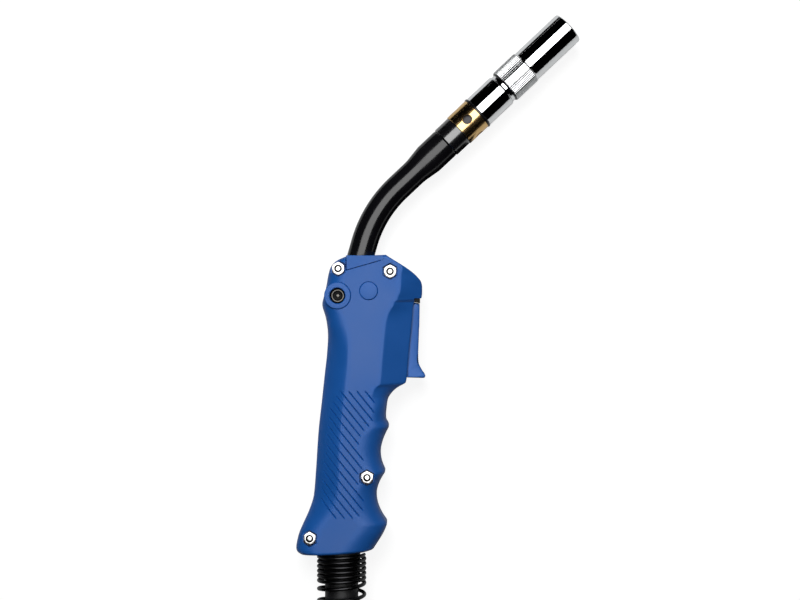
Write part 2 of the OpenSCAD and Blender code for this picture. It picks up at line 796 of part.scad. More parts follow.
module spring_seat() {
    flange_y = handle_bottom + end_wall + section_lean * cable_x + seat_flange_t;
    color(BLACK)
        translate([cable_x, flange_y + 1, mid_z]) rotate([90, 0, 0])
            difference() {
                union() {
                    cylinder(r = seat_flange_r, h = seat_flange_t - 0.3);
                    cylinder(r = seat_d / 2, h = flange_y + 1 - handle_bottom + seat_l);
                    translate([0, 0, flange_y + 1 - handle_bottom + seat_l])
                        cylinder(r1 = seat_d / 2, r2 = cable_d / 2 + 1.2, h = handle_bottom - seat_l - cord_start_y);
                }
                translate([0, 0, -over]) cylinder(r = cable_d / 2 + slip, h = 60);
            }
}

// ---------- Trigger and switch ----------

trigger_outline = [
    [29.4, 16.6], [32.8, 16.2], [32.4, -3], [32, -13.2], [32.1, -18], [32.7, -21], [34.2, -24],
    [35.9, -26.3], [36.1, -27.3], [35.5, -28.5], [21.5, -28.2], [21.5, 9], [23, 14.5], [26, 16.3]
];
nose_y = -6;
nose_tip_x = 16.5;
plunger_d = 2.4;
plunger_gap = 0.3;
plunger_end_x = nose_tip_x - plunger_gap;

module trigger() {
    pocket_x = 25;
    color(LIGHT_BLUE)
        difference() {
            union() {
                translate([0, 0, mid_z - trigger_w / 2])
                    linear_extrude(height = trigger_w) polygon(trigger_outline);
                translate([nose_tip_x, nose_y - 2, mid_z - 2.5]) cube([8, 4, 5]);
            }
            translate([trigger_pivot.x, trigger_pivot.y, 0]) cylinder(r = pivot_d / 2 + slip, h = handle_t);
            translate([pocket_x, return_spring_y, mid_z]) rotate([0, -90, 0])
                cylinder(r = return_spring_r + 0.4, h = 10);
        }
}

module trigger_pin() {
    color(STEEL)
        translate([trigger_pivot.x, trigger_pivot.y, mid_z - pin_half])
            cylinder(r = pivot_d / 2, h = 2 * pin_half);
}

// The centreline of a spring along +Z from z = 0, with straight ends one wire long.
// runs is a list of [turns, rise of one turn].
spring_steps = 8;

function spring_turns(runs, i = 0) = i == len(runs) ? 0 : runs[i][0] + spring_turns(runs, i + 1);
function spring_height(runs, turn, i = 0) =
    i == len(runs) ? 0
    : let (here = min(turn, runs[i][0])) here * runs[i][1] + spring_height(runs, turn - here, i + 1);
function spring_path(radius, wire, runs) =
    let (
        turns = spring_turns(runs),
        steps = turns * spring_steps,
        body = [
            for (i = [0:steps])
                let (a = 360 * i / spring_steps)
                    [radius * cos(a), radius * sin(a), spring_height(runs, i / spring_steps)]
        ]
    )
    concat([body[0] - [0, wire, 0]], body, [body[steps] + wire * unit([-sin(360 * turns), cos(360 * turns), 0])]);

module spring(radius, wire, runs) {
    tube_along(spring_path(radius, wire, runs), wire / 2, 6, [0, 0, 1]);
}

return_wire = 0.7;
return_runs = [[1, 1.2], [4, 2.8], [1, 1.2]];

module trigger_spring() {
    color(STEEL)
        translate([spring_stop_x + spring_stop_t + return_wire / 2 + 0.1, return_spring_y, mid_z])
            rotate([0, 90, 0]) spring(return_spring_r - return_wire / 2, return_wire, return_runs);
}

module switch_body() {
    color(GREY)
        difference() {
            translate([switch_corner.x, switch_corner.y, mid_z - switch_t / 2])
                cube([switch_size.x, switch_size.y, switch_t]);
            translate([switch_corner.x + 1.5, nose_y, mid_z]) rotate([0, 90, 0])
                cylinder(r = plunger_d / 2 + slip, h = 20);
            for (p = switch_screw_places)
                translate([p.x, p.y, 0]) cylinder(r = switch_screw_d / 2 + slip, h = handle_t);
        }
}

module switch_plunger() {
    length = 8.6;
    color("firebrick")
        translate([plunger_end_x - length, nose_y, mid_z]) rotate([0, 90, 0])
            cylinder(r = plunger_d / 2, h = length);
}

module switch_screws() {
    bite = 6;
    color(STEEL)
        for (p = switch_screw_places)
            translate([p.x, p.y, mid_z - switch_t / 2 - bite]) {
                cylinder(r = switch_screw_d / 2, h = bite + switch_t);
                translate([0, 0, bite + switch_t]) cylinder(r = 1.8, h = 1.4);
            }
}

// Two thin leads from the switch down to the cable, over the braid.
lead_r = 0.8;
lead_route = [
    [1.9, -12, 0], [0.6, -18, 3.5], [-2.6, -26, 7.2], [-7, -36, 9.3], [-9, -60, 9.4], [-11, -86, 9.4],
    [-12, -102, 9.2], [-13, -109.6, 9]
];

module switch_leads() {
    spacing = 2;
    color("crimson")
        for (side = [-1, 1])
            tube_along([for (p = lead_route) p + [side * spacing / 2, side * 2, mid_z]], lead_r, 8, [0, 0, 1]);
}

// ---------- Cable ----------

// Route of the cable from the handle to the coil, and from the coil to the connector.
cord_start_y = -144;
cable_route = [
    [-14, -144, 18], [-14, -180, 18], [-14, -210, 17.6], [-14, -232, 16.2], [-14, -250, 14],
    [-14, -268, 12], [-14, -280, 11.2], [-14, -286.7, 11.2]
];
tail_route = [
    [-14, -327.3, 31.8], [-14, -334, 31.8], [-14, -344, 31.2], [-14, -358, 28.6], [-14, -374, 25],
    [-14, -390, 24], [-14, -414, 24]
];
cable_sides = 8;
coil_sides = 6;
coil_steps = 24;
coil_layer_turns = 2;
coil_centre = [cable_x + coil_r, -307];
coil_low_z = 11.2;
coil_pitch = cable_d + coil_gap;
coil_lead = cable_d;

// Layers: in along the first, up in the half turn round the reversal, and out along the second.
function coil_climb(turn) =
    let (u = min(1, max(0, (turn - coil_layer_turns + 0.25) / 0.5))) u * u * (3 - 2 * u);
function coil_point(turn) =
    let (a = 180 + 360 * turn, r = coil_r - coil_pitch * (coil_layer_turns - abs(turn - coil_layer_turns)))
        [coil_centre.x + r * cos(a), coil_centre.y + r * sin(a), coil_low_z + coil_pitch * coil_climb(turn)];
coil_turns = 2 * coil_layer_turns;
coil_path = concat(
    [coil_point(0) + [0, coil_lead, 0]],
    [for (i = [0:coil_turns * coil_steps]) coil_point(i / coil_steps)],
    [coil_point(coil_turns) - [0, coil_lead, 0]]
);

strain_runs = [[close_turns, close_pitch], [open_turns, open_pitch], [end_turns, close_pitch]];
strain_r = (spring_od - spring_wire_d) / 2;
plug_spring_runs = [[3, close_pitch], [4, 5.5], [3, close_pitch]];

echo("least gap of the coiled cable", least_gap(coil_path, cable_d, coil_steps / 2));
echo("least gap of the strain-relief spring",
    least_gap(spring_path(strain_r, spring_wire_d, strain_runs), spring_wire_d, spring_steps / 2));
echo("least gap of the connector's spring",
    least_gap(spring_path(strain_r, spring_wire_d, plug_spring_runs), spring_wire_d, spring_steps / 2));
echo("least gap of the trigger's spring",
    least_gap(spring_path(return_spring_r - return_wire / 2, return_wire, return_runs), return_wire, spring_steps / 2));

module strain_spring() {
    start_y = handle_bottom + section_lean * (cable_x - strain_r) - spring_wire_d / 2 - 0.3;
    color(BLACK)
        translate([cable_x, start_y, mid_z]) rotate([90, 0, 0]) spring(strain_r, spring_wire_d, strain_runs);
}

module cable() {
    color(BLACK) tube_along(cable_route, cable_d / 2, cable_sides, [0, 0, 1]);
}

module cable_coil() {
    color(BLACK) tube_along(coil_path, cable_d / 2, coil_sides, [0, 0, 1]);
}

module cable_tail() {
    color(BLACK) tube_along(tail_route, cable_d / 2, cable_sides, [0, 0, 1]);
}

module rounded_block(size, radius, length) {
    inner = size - [2 * radius, 2 * radius];
    translate([-size.x / 2, -inner.y / 2, 0]) cube([size.x, inner.y, length]);
    translate([-inner.x / 2, -size.y / 2, 0]) cube([inner.x, size.y, length]);
    for (x = [-1, 1])
        for (y = [-1, 1]) translate([x * inner.x / 2, y * inner.y / 2, 0]) cylinder(r = radius, h = length);
}

module coil_strap() {
    play = 0.6;
    hole = [cable_d + coil_pitch + 2 * play, cable_d + coil_pitch];
    // The coil's straight runs lean inwards away from the band's middle.
    run_lean = strap_w / 4 * tan(180 / coil_steps);
    band_x = coil_centre.x + coil_r - coil_pitch - run_lean;
    color(BLACK)
        translate([band_x, coil_centre.y + strap_w / 2, coil_low_z + coil_pitch / 2]) rotate([90, 0, 0])
            difference() {
                rounded_block(hole + [2 * strap_t, 2 * strap_t], 6, strap_w);
                translate([0, 0, -over]) rounded_block(hole, 6 - strap_t, strap_w + 2 * over);
            }
}

// ---------- Connector ----------
// It lies on its hood, and points along -Y.

plug_start_y = -378;
plug_z = hood_d / 2;
collar_l = 12;
cone_l = 22;
hood_back = 36;
hood_cone = hood_back + collar_l;
hood_full = hood_cone + cone_l;
hood_front = hood_full + hood_l;
journal_r = coupling_d / 2 - 5.2;
journal_l = 6;
disc_r = coupling_d / 2 - 4.6;
disc_front = hood_front + journal_l + 12;
boss_front = disc_front + boss_l;
pin_ring_r = boss_d / 2 + 4.7;
hood_bore_r = 13;
crimp_r = 9;

// Puts children s along the connector from the back of its spring, with their +Z to its front.
module plug_at(s) {
    translate([cable_x, plug_start_y - s, plug_z]) rotate([90, 0, 0]) children();
}

module plug_spring() {
    color(BLACK) plug_at(spring_wire_d / 2) spring(strain_r, spring_wire_d, plug_spring_runs);
}

module plug_hood() {
    lip = 3;
    color(BLACK)
        plug_at(0)
            difference() {
                rotate_extrude()
                    polygon([
                        [0, hood_back], [seat_d / 2, hood_back], [seat_d / 2, hood_cone],
                        [seat_d / 2 + 5, hood_cone], [hood_d / 2 - 1, hood_full],
                        [hood_d / 2, hood_full + 1], [hood_d / 2, hood_front - 1],
                        [hood_d / 2 - 1, hood_front], [0, hood_front]
                    ]);
                translate([0, 0, hood_back - over]) cylinder(r = cable_d / 2 + slip, h = hood_l);
                translate([0, 0, hood_cone + lip]) cylinder(r = hood_bore_r, h = hood_l + cone_l);
                translate([0, -hood_d / 2 - over, hood_front - 10]) rotate([-90, 0, 0])
                    cylinder(r = hood_screw_d / 2 + slip, h = hood_d / 2 + over);
                translate([0, hood_d / 2 + over, hood_front - 10]) rotate([90, 0, 0]) {
                    cylinder(r = hood_screw_d / 2 + slip, h = hood_d / 2);
                    cylinder(r = 3.2, h = 4.2 + over);
                }
            }
}

hood_screw_d = 3;

module plug_hood_screw() {
    head_r = 2.9;
    color(STEEL)
        plug_at(hood_front - 10) translate([0, hood_d / 2 - 1.4, 0]) rotate([90, 0, 0])
            difference() {
                union() {
                    cylinder(r = head_r, h = 2.6);
                    cylinder(r = hood_screw_d / 2, h = hood_d / 2 - 1.4 - body_r + 3);
                }
                translate([0, 0, -over]) hexagon(2, 1.4 + over);
            }
}

body_r = hood_bore_r - slip;
boss_root_r = boss_d / 2 - 0.3;

module plug_body() {
    color(BRASS)
        difference() {
            union() {
                plug_at(hood_full + 2) cylinder(r = crimp_r, h = hood_l);
                plug_at(hood_full + 12) cylinder(r = body_r, h = hood_l - 12);
                plug_at(hood_front - over) cylinder(r = boss_root_r, h = disc_front - hood_front + over);
                plug_at(disc_front) cylinder(r = boss_d / 2, h = boss_l);
            }
            plug_at(hood_full + 12 - 40) cylinder(r = guide_d / 2 + slip, h = 200);
            plug_at(hood_front - 10) translate([0, body_r + over, 0]) rotate([90, 0, 0])
                cylinder(r = hood_screw_d / 2 + slip, h = over + 3.2);
        }
}

pin_turns = [-125, -55];
pin_room = 9;
pin_travel = 3;

module plug_disc() {
    color(GREY)
        difference() {
            union() {
                plug_at(hood_front) cylinder(r = journal_r, h = journal_l + slip);
                plug_at(hood_front + journal_l) cylinder(r = disc_r, h = disc_front - hood_front - journal_l);
            }
            plug_at(hood_front - over) cylinder(r = boss_root_r + slip, h = 40);
            plug_at(disc_front - 8) translate([0, pin_ring_r, 0]) cylinder(r = nipple_d / 2 + slip, h = 20);
            for (turn = pin_turns)
                plug_at(disc_front - pin_room - 5) rotate([0, 0, turn]) translate([pin_ring_r, 0, 0]) {
                    cylinder(r = contact_pin_d / 2 + slip, h = 40);
                    cylinder(r = contact_pin_d / 2 + 0.6 + slip, h = pin_room);
                }
        }
}

module plug_nut() {
    nut_back = hood_front + 0.4;
    lip_l = journal_l - 0.8;
    thread_r = disc_r + 0.5;
    flute_r = 2.4;
    color(BLACK)
        difference() {
            plug_at(nut_back) cylinder(r = coupling_d / 2, h = coupling_l);
            plug_at(nut_back - over) cylinder(r = journal_r + slip, h = 20);
            plug_at(nut_back + lip_l) cylinder(r = thread_r, h = coupling_l);
            for (i = [0:coupling_flutes - 1])
                plug_at(nut_back + 3) rotate([0, 0, 360 * i / coupling_flutes])
                    translate([coupling_d / 2 + 1, 0, 0]) cylinder(r = flute_r, h = coupling_l, $fn = 24);
        }
}

guide_front = boss_front + 10;

module plug_guide_tube() {
    color(STEEL)
        plug_at(hood_full + 12)
            ring(guide_d / 2, liner_d / 2 + slip, guide_front - hood_full - 12);
}

module plug_liner_nut() {
    nut_l = 7;
    wall_t = 1.5;
    color(BRASS)
        difference() {
            plug_at(guide_front - nut_l + wall_t) hexagon(guide_d + 3, nut_l);
            plug_at(guide_front - nut_l) cylinder(r = guide_d / 2 + slip, h = nut_l + slip);
            plug_at(guide_front - over) cylinder(r = 1.2, h = 6);
        }
}

module plug_gas_nipple() {
    length = 22;
    color(BRASS)
        plug_at(disc_front - 7.6) translate([0, pin_ring_r, 0])
            difference() {
                cylinder(r = nipple_d / 2, h = length);
                translate([0, 0, -over]) cylinder(r = nipple_d / 4, h = length + 2 * over);
                translate([0, 0, length - 5])
                    rotate_extrude() translate([nipple_d / 2 + 0.1, 0]) circle(r = 0.8 + slip, $fn = 24);
            }
}

module plug_gas_seal() {
    color(BLACK)
        plug_at(disc_front - 7.6 + 22 - 5) translate([0, pin_ring_r, 0])
            rotate_extrude() translate([nipple_d / 2 + 0.1, 0]) circle(r = 0.8, $fn = 24);
}

// A pin with a shoulder, which slides back into the disc against its spring.
module contact_pin(turn) {
    length = 17;
    color(BRASS)
        plug_at(disc_front - 5 - pin_travel) rotate([0, 0, turn]) translate([pin_ring_r, 0, 0]) {
            cylinder(r = contact_pin_d / 2, h = length + pin_travel);
            cylinder(r = contact_pin_d / 2 + 0.6, h = 2.8);
        }
}

pin_wire = 0.5;
pin_spring_runs = [[1, 1], [2, 1.6], [1, 1]];

module pin_spring(turn) {
    color(STEEL)
        plug_at(disc_front - pin_room - 5 + pin_wire / 2 + 0.1) rotate([0, 0, turn]) translate([pin_ring_r, 0, 0])
            spring(contact_pin_d / 2, pin_wire, pin_spring_runs);
}

module plug_contact_pin_a() {
    contact_pin(pin_turns[0]);
}

module plug_contact_pin_b() {
    contact_pin(pin_turns[1]);
}

module plug_pin_spring_a() {
    pin_spring(pin_turns[0]);
}

module plug_pin_spring_b() {
    pin_spring(pin_turns[1]);
}

nozzle_shell();
nozzle_adaptor();
nozzle_insulator();
gas_ring();
gas_ring_core();
front_sleeve();
contact_tip();
tip_holder();
gas_diffuser();
neck_jacket();
neck_tube();
wire_liner();
handle_near_shell();
handle_far_shell();
shell_screws();
shell_nuts();
neck_clamp();
neck_clamp_screw();
trigger();
trigger_pin();
trigger_spring();
switch_body();
switch_plunger();
switch_screws();
switch_leads();
power_block();
inner_hose();
conductor_braid();
crimp_ferrule();
cable_in_handle();
spring_seat();
strain_spring();
cable();
cable_coil();
coil_strap();
cable_tail();
plug_spring();
plug_hood();
plug_hood_screw();
plug_body();
plug_disc();
plug_nut();
plug_guide_tube();
plug_liner_nut();
plug_gas_nipple();
plug_gas_seal();
plug_contact_pin_a();
plug_contact_pin_b();
plug_pin_spring_a();
plug_pin_spring_b();
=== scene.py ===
"""Looks of the MIG welding torch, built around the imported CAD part.

Lengths are in millimetres, in the frame's own axes, and finish_mesh() scales each mesh to metres.
"""

import json
import math

import bmesh
import bpy
import numpy as np
from mathutils import Matrix, Vector


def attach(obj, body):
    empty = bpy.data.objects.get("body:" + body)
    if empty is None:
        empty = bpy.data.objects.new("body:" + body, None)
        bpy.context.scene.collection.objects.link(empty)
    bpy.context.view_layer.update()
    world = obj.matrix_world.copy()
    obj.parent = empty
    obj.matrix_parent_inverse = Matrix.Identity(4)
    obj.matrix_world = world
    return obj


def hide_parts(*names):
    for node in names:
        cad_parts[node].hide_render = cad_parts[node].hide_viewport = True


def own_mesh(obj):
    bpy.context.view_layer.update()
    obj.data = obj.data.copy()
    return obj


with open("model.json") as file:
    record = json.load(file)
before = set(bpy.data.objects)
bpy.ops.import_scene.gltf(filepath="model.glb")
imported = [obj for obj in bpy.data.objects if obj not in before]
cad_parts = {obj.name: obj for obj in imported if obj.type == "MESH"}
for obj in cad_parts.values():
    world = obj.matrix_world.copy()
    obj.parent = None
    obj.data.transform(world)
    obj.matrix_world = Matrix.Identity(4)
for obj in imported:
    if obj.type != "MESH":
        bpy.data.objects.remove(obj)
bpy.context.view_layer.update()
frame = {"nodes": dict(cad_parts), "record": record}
NODES = frame["nodes"]
MM = 0.001
TAU = 2 * math.pi

# ---------- Places that the CAD part sets ----------

MID_Z = 18.0
CABLE_X = -14.0
CABLE_R = 10.0
COLLAR_R = 11.25
NOZZLE_TILT = math.radians(46.7)
NOZZLE_AXIS = np.array([math.sin(NOZZLE_TILT), math.cos(NOZZLE_TILT)])
MOUTH = np.array([121.8525, 181.4512])
EXIT_TILT = math.radians(15.8)
EXIT_AXIS = np.array([math.sin(EXIT_TILT), math.cos(EXIT_TILT)])
NECK_BEND_R = 73.0
NECK_BEND_START = np.array([-0.4312, 51.98])
HANDLE_LOW, HANDLE_HIGH = -131.8, 44.2
# The handle's sections lean: a section at one level is the line y = level + LEAN * x
LEAN = 0.0375
PLUG_Y = -378.0
PLUG_Z = 24.0


def facing(axis, x, y, z):
    """Local +Z points along axis, which lies in the XY plane, and local +X points down."""
    return Matrix(((0, -axis[1], axis[0], x), (0, axis[0], axis[1], y), (-1, 0, 0, z), (0, 0, 0, 1)))


def behind_mouth(s):
    """Local +Z points along the nozzle to its mouth, from s behind the mouth."""
    x, y = MOUTH - s * NOZZLE_AXIS
    return facing(NOZZLE_AXIS, x, y, MID_Z)


def down_cable(y, z, x=CABLE_X):
    """Local +Z points along -Y, as the cable leaves the handle, and local +Y points up."""
    return Matrix(((1, 0, 0, x), (0, 0, -1, y), (0, 1, 0, z), (0, 0, 0, 1)))


def plug_at(s):
    """Local +Z points along the connector to its front, from s in front of the back of its spring."""
    return down_cable(PLUG_Y - s, PLUG_Z)


def at(x, y, z):
    return Matrix.Translation((x, y, z))


# ---------- Camera ----------

VIEW_CENTRE = (21.0, 18.0)
CAMERA_UP = 1000.0
camera_data = bpy.data.cameras.new("camera")
camera_data.sensor_width = 36
camera_data.lens = 75
camera = bpy.data.objects.new("camera", camera_data)
camera.location = (VIEW_CENTRE[0] * MM, VIEW_CENTRE[1] * MM, (MID_Z + CAMERA_UP) * MM)
bpy.context.scene.collection.objects.link(camera)
bpy.context.scene.camera = camera

# ---------- Making meshes ----------

SHARP = math.radians(32)
CORNER_STEPS = 3
TINY = 1e-6


def finish_mesh(name, mesh, material, sharp):
    """Scales a mesh to metres, marks its sharp edges and puts it in the scene."""
    bm = bmesh.new()
    bm.from_mesh(mesh)
    bmesh.ops.remove_doubles(bm, verts=bm.verts, dist=1e-5)
    bmesh.ops.dissolve_degenerate(bm, edges=bm.edges, dist=1e-5)
    bmesh.ops.recalc_face_normals(bm, faces=bm.faces)
    bmesh.ops.scale(bm, vec=(MM, MM, MM), verts=bm.verts)
    for face in bm.faces:
        face.smooth = True
    for edge in bm.edges:
        edge.smooth = len(edge.link_faces) == 2 and edge.calc_face_angle(0) < sharp
    bm.to_mesh(mesh)
    bm.free()
    mesh.name = name
    mesh.materials.clear()
    mesh.materials.append(material)
    obj = bpy.data.objects.new(name, mesh)
    bpy.context.scene.collection.objects.link(obj)
    return obj


def rings_mesh(rings, cyclic=False):
    """Joins rings of equal count. A ring of one point is a pole, and open ends get a cap."""
    verts, starts = [], []
    for ring in rings:
        starts.append(len(verts))
        verts += [tuple(p) for p in ring]
    faces = []
    count = max(len(r) for r in rings)
    pairs = list(zip(range(len(rings) - 1), range(1, len(rings))))
    if cyclic:
        pairs.append((len(rings) - 1, 0))
    for i, j in pairs:
        a, b = starts[i], starts[j]
        pole_a, pole_b = len(rings[i]) == 1, len(rings[j]) == 1
        if pole_a and pole_b:
            continue
        for k in range(count):
            k2 = (k + 1) % count
            if pole_a:
                faces.append((a, b + k2, b + k))
            elif pole_b:
                faces.append((a + k, a + k2, b))
            else:
                faces.append((a + k, a + k2, b + k2, b + k))
    if not cyclic:
        if len(rings[0]) > 1:
            faces.append(tuple(starts[0] + k for k in range(len(rings[0])))[::-1])
        if len(rings[-1]) > 1:
            faces.append(tuple(starts[-1] + k for k in range(len(rings[-1]))))
    mesh = bpy.data.meshes.new("rings")
    mesh.from_pydata(verts, [], faces)
    mesh.update()
    return mesh


def soften(points, radius=0.0):
    """Rounds the corners of a profile of (radius, height) points, but not those on the axis.

    A point's third number, if it has one, is the radius of its own corner.
    """
    out, n = [], len(points)
    pts = [np.array(p[:2], float) for p in points]
    for i, p in enumerate(pts):
        r = points[i][2] if len(points[i]) > 2 else radius
        if p[0] < TINY or r <= 0:
            out.append(p)
            continue
        a, b = pts[i - 1] - p, pts[(i + 1) % n] - p
        la, lb = np.linalg.norm(a), np.linalg.norm(b)
        if la < TINY or lb < TINY:
            out.append(p)
            continue
        cut = min(r, 0.45 * la, 0.45 * lb)
        p0, p1 = p + a / la * cut, p + b / lb * cut
        for k in range(CORNER_STEPS + 1):
            t = k / CORNER_STEPS
            out.append((1 - t) ** 2 * p0 + 2 * t * (1 - t) * p + t * t * p1)
    return out


def lathe_mesh(profile, place, segments, wave=None):
    """Turns a profile of (radius, height) about local Z: a solid if it starts on the axis, or else a ring.

    wave(radius, height, angle) adds to the radius.
    """
    rings = []
    for r, z in profile:
        if r < TINY:
            rings.append([place @ Vector((0, 0, z))])
            continue
        ring = []
        for k in range(segments):
            a = TAU * k / segments
            rr = r + (wave(r, z, a) if wave else 0)
            ring.append(place @ Vector((rr * math.cos(a), rr * math.sin(a), z)))
        rings.append(ring)
    return rings_mesh(rings, cyclic=profile[0][0] > TINY)


def rod(x, y, low, high, r, segments=48):
    return lathe_mesh([(0, low), (r, low), (r, high), (0, high)], at(x, y, 0), segments)


def tube_rings(path, radii, sides):
    """Rings round each point of a path. Their normals start upright and turn as little as they can."""
    tangents = np.gradient(path, axis=0)
    tangents /= np.linalg.norm(tangents, axis=1)[:, None]
    normal = np.array((0, 0, 1.0))
    angles = [TAU * k / sides for k in range(sides)]
    rings = []
    for p, t, r in zip(path, tangents, radii):
        normal = normal - t * np.dot(normal, t)
        normal /= np.linalg.norm(normal)
        side = np.cross(t, normal)
        rings.append([p + r * (math.cos(a) * side + math.sin(a) * normal) for a in angles])
    return rings


def prism_mesh(outline, low, high):
    return rings_mesh([[(x, y, low) for x, y in outline], [(x, y, high) for x, y in outline]])


def block(low, high):
    outline = [(low[0], low[1]), (high[0], low[1]), (high[0], high[1]), (low[0], high[1])]
    return prism_mesh(outline, low[2], high[2])


def corner_radius(across_flats):
    return across_flats / math.sqrt(3)


def hexagon(radius, turn):
    angles = [turn + TAU * k / 6 for k in range(6)]
    return [(radius * math.cos(a), radius * math.sin(a)) for a in angles]


def placed(mesh, matrix):
    mesh.transform(matrix)
    return mesh


def hex_mesh(across_flats, low, high, place, turn=0.0):
    return placed(prism_mesh(hexagon(corner_radius(across_flats), turn), low, high), place)


def joined(*meshes):
    """One mesh of several that may overlap."""
    bm = bmesh.new()
    for m in meshes:
        bm.from_mesh(m)
    out = bpy.data.meshes.new("joined")
    bm.to_mesh(out)
    bm.free()
    return out


def outward(mesh):
    """Merges doubled points and turns all faces outward."""
    bm = bmesh.new()
    bm.from_mesh(mesh)
    bmesh.ops.remove_doubles(bm, verts=bm.verts, dist=1e-4)
    bmesh.ops.recalc_face_normals(bm, faces=bm.faces)
    bm.to_mesh(mesh)
    bm.free()
    return mesh


def carve(mesh, *tools, operation="DIFFERENCE"):
    """Cuts each tool from a mesh, or adds it, with Blender's solver for closed meshes."""
    base = bpy.data.objects.new("base", outward(mesh))
    bpy.context.scene.collection.objects.link(base)
    for tool in tools:
        cutter = bpy.data.objects.new("cutter", outward(tool))
        bpy.context.scene.collection.objects.link(cutter)
        modifier = base.modifiers.new("cut", "BOOLEAN")
        modifier.operation = operation
        modifier.solver = "MANIFOLD"
        modifier.object = cutter
        bpy.context.view_layer.update()
        evaluated = base.evaluated_get(bpy.context.evaluated_depsgraph_get())
        result = bpy.data.meshes.new_from_object(evaluated)
        if len(result.polygons) == 0:
            raise RuntimeError("a cut came out empty")
        base.modifiers.clear()
        base.data = result
        bpy.data.objects.remove(cutter)
    out = base.data
    bpy.data.objects.remove(base)
    return out


def bell(reach, step, softness):
    """Weights of a blur, for reach steps to either side."""
    weights = np.exp(-0.5 * (np.arange(-reach, reach + 1) * step / softness) ** 2)
    return weights / weights.sum()


def blurred(values, weights):
    return np.convolve(np.pad(values, len(weights) // 2, mode="edge"), weights, "valid")


# ---------- Materials ----------


class Shader:
    """One node material. Its mapping is the object's own coordinates, in metres."""

    SOCKETS = {
        "base": "Base Color", "rough": "Roughness", "metal": "Metallic", "coat": "Coat Weight",
        "coat_rough": "Coat Roughness", "specular": "Specular IOR Level", "normal": "Normal",
    }

    def __init__(self, name):
        self.material = bpy.data.materials.new(name)
        self.material.use_nodes = True
        self.tree = self.material.node_tree
        self.bsdf = self.tree.nodes["Principled BSDF"]
        self.place = self.tree.nodes.new("ShaderNodeTexCoord").outputs["Object"]

    def node(self, kind, **values):
        made = self.tree.nodes.new(kind)
        for key, value in values.items():
            made.inputs[key].default_value = value
        return made

    def link(self, a, b):
        self.tree.links.new(a, b)

    def noise(self, scale, detail, roughness=0.5, stretch=None):
        made = self.node("ShaderNodeTexNoise", Scale=scale, Detail=detail, Roughness=roughness)
        source = self.place
        if stretch:
            mapping = self.node("ShaderNodeMapping", Scale=stretch)
            self.link(source, mapping.inputs["Vector"])
            source = mapping.outputs["Vector"]
        self.link(source, made.inputs["Vector"])
        return made.outputs["Fac"]

    def ramp(self, source, stops):
        made = self.node("ShaderNodeValToRGB")
        elements = made.color_ramp.elements
        while len(elements) < len(stops):
            elements.new(0.5)
        for element, (position, colour) in zip(elements, stops):
            element.position = position
            element.color = (*colour, 1)
        self.link(source, made.inputs["Fac"])
        return made.outputs["Color"]

    def mottled(self, source, colour, vary):
        return self.ramp(source, [(0.30, shade(colour, 1 - vary)), (0.70, shade(colour, 1 + vary))])

    def spread(self, source, low, high):
        """Maps the middle of a noise's range to low and high."""
        limits = {"From Min": 0.3, "From Max": 0.7, "To Min": low, "To Max": high}
        made = self.node("ShaderNodeMapRange", **limits)
        self.link(source, made.inputs["Value"])
        return made.outputs["Result"]

    def bump(self, source, distance, strength):
        made = self.node("ShaderNodeBump", Strength=strength, Distance=distance)
        self.link(source, made.inputs["Height"])
        return made.outputs["Normal"]

    def set(self, **values):
        for key, value in values.items():
            socket = self.bsdf.inputs[self.SOCKETS[key]]
            if isinstance(value, bpy.types.NodeSocket):
                self.link(value, socket)
            else:
                socket.default_value = value
        return self.material


def shade(colour, factor):
    return tuple(min(1.0, c * factor) for c in colour)


def moulded(name, colour, rough, grain=0.00004, vary=0.10, coat=0.0, specular=0.5):
    """Moulded plastic: fine spark-eroded grain, faint mottling and slightly uneven gloss."""
    s = Shader(name)
    broad, fine = s.noise(38, 4), s.noise(2600, 2)
    return s.set(
        base=s.mottled(broad, colour, vary), rough=s.spread(broad, rough - 0.05, rough + 0.05),
        coat=coat, coat_rough=0.25, normal=s.bump(fine, grain, 0.6), specular=specular,
    )


def metal(name, colour, rough, scratch, stretch=(1, 1, 1), vary=0.06):
    """Metal with fine tool marks and uneven polish."""
    s = Shader(name)
    marks, broad = s.noise(900, 4, 0.6, stretch), s.noise(60, 5, 0.6)
    return s.set(
        base=s.mottled(broad, colour, vary), metal=1.0, rough=s.spread(broad, rough * 0.75, rough * 1.3),
        normal=s.bump(marks, scratch, 0.5),
    )


def rubber(name, colour, rough):
    """Rubber: a dull skin with scuffs and a faint extruded grain."""
    s = Shader(name)
    broad, fine = s.noise(70, 6, 0.62), s.noise(1500, 3)
    return s.set(
        base=s.ramp(broad, [(0.35, shade(colour, 0.8)), (0.60, colour), (0.78, shade(colour, 1.9))]),
        rough=s.spread(broad, rough + 0.06, rough - 0.08), normal=s.bump(fine, 0.00005, 0.5), specular=0.4,
    )


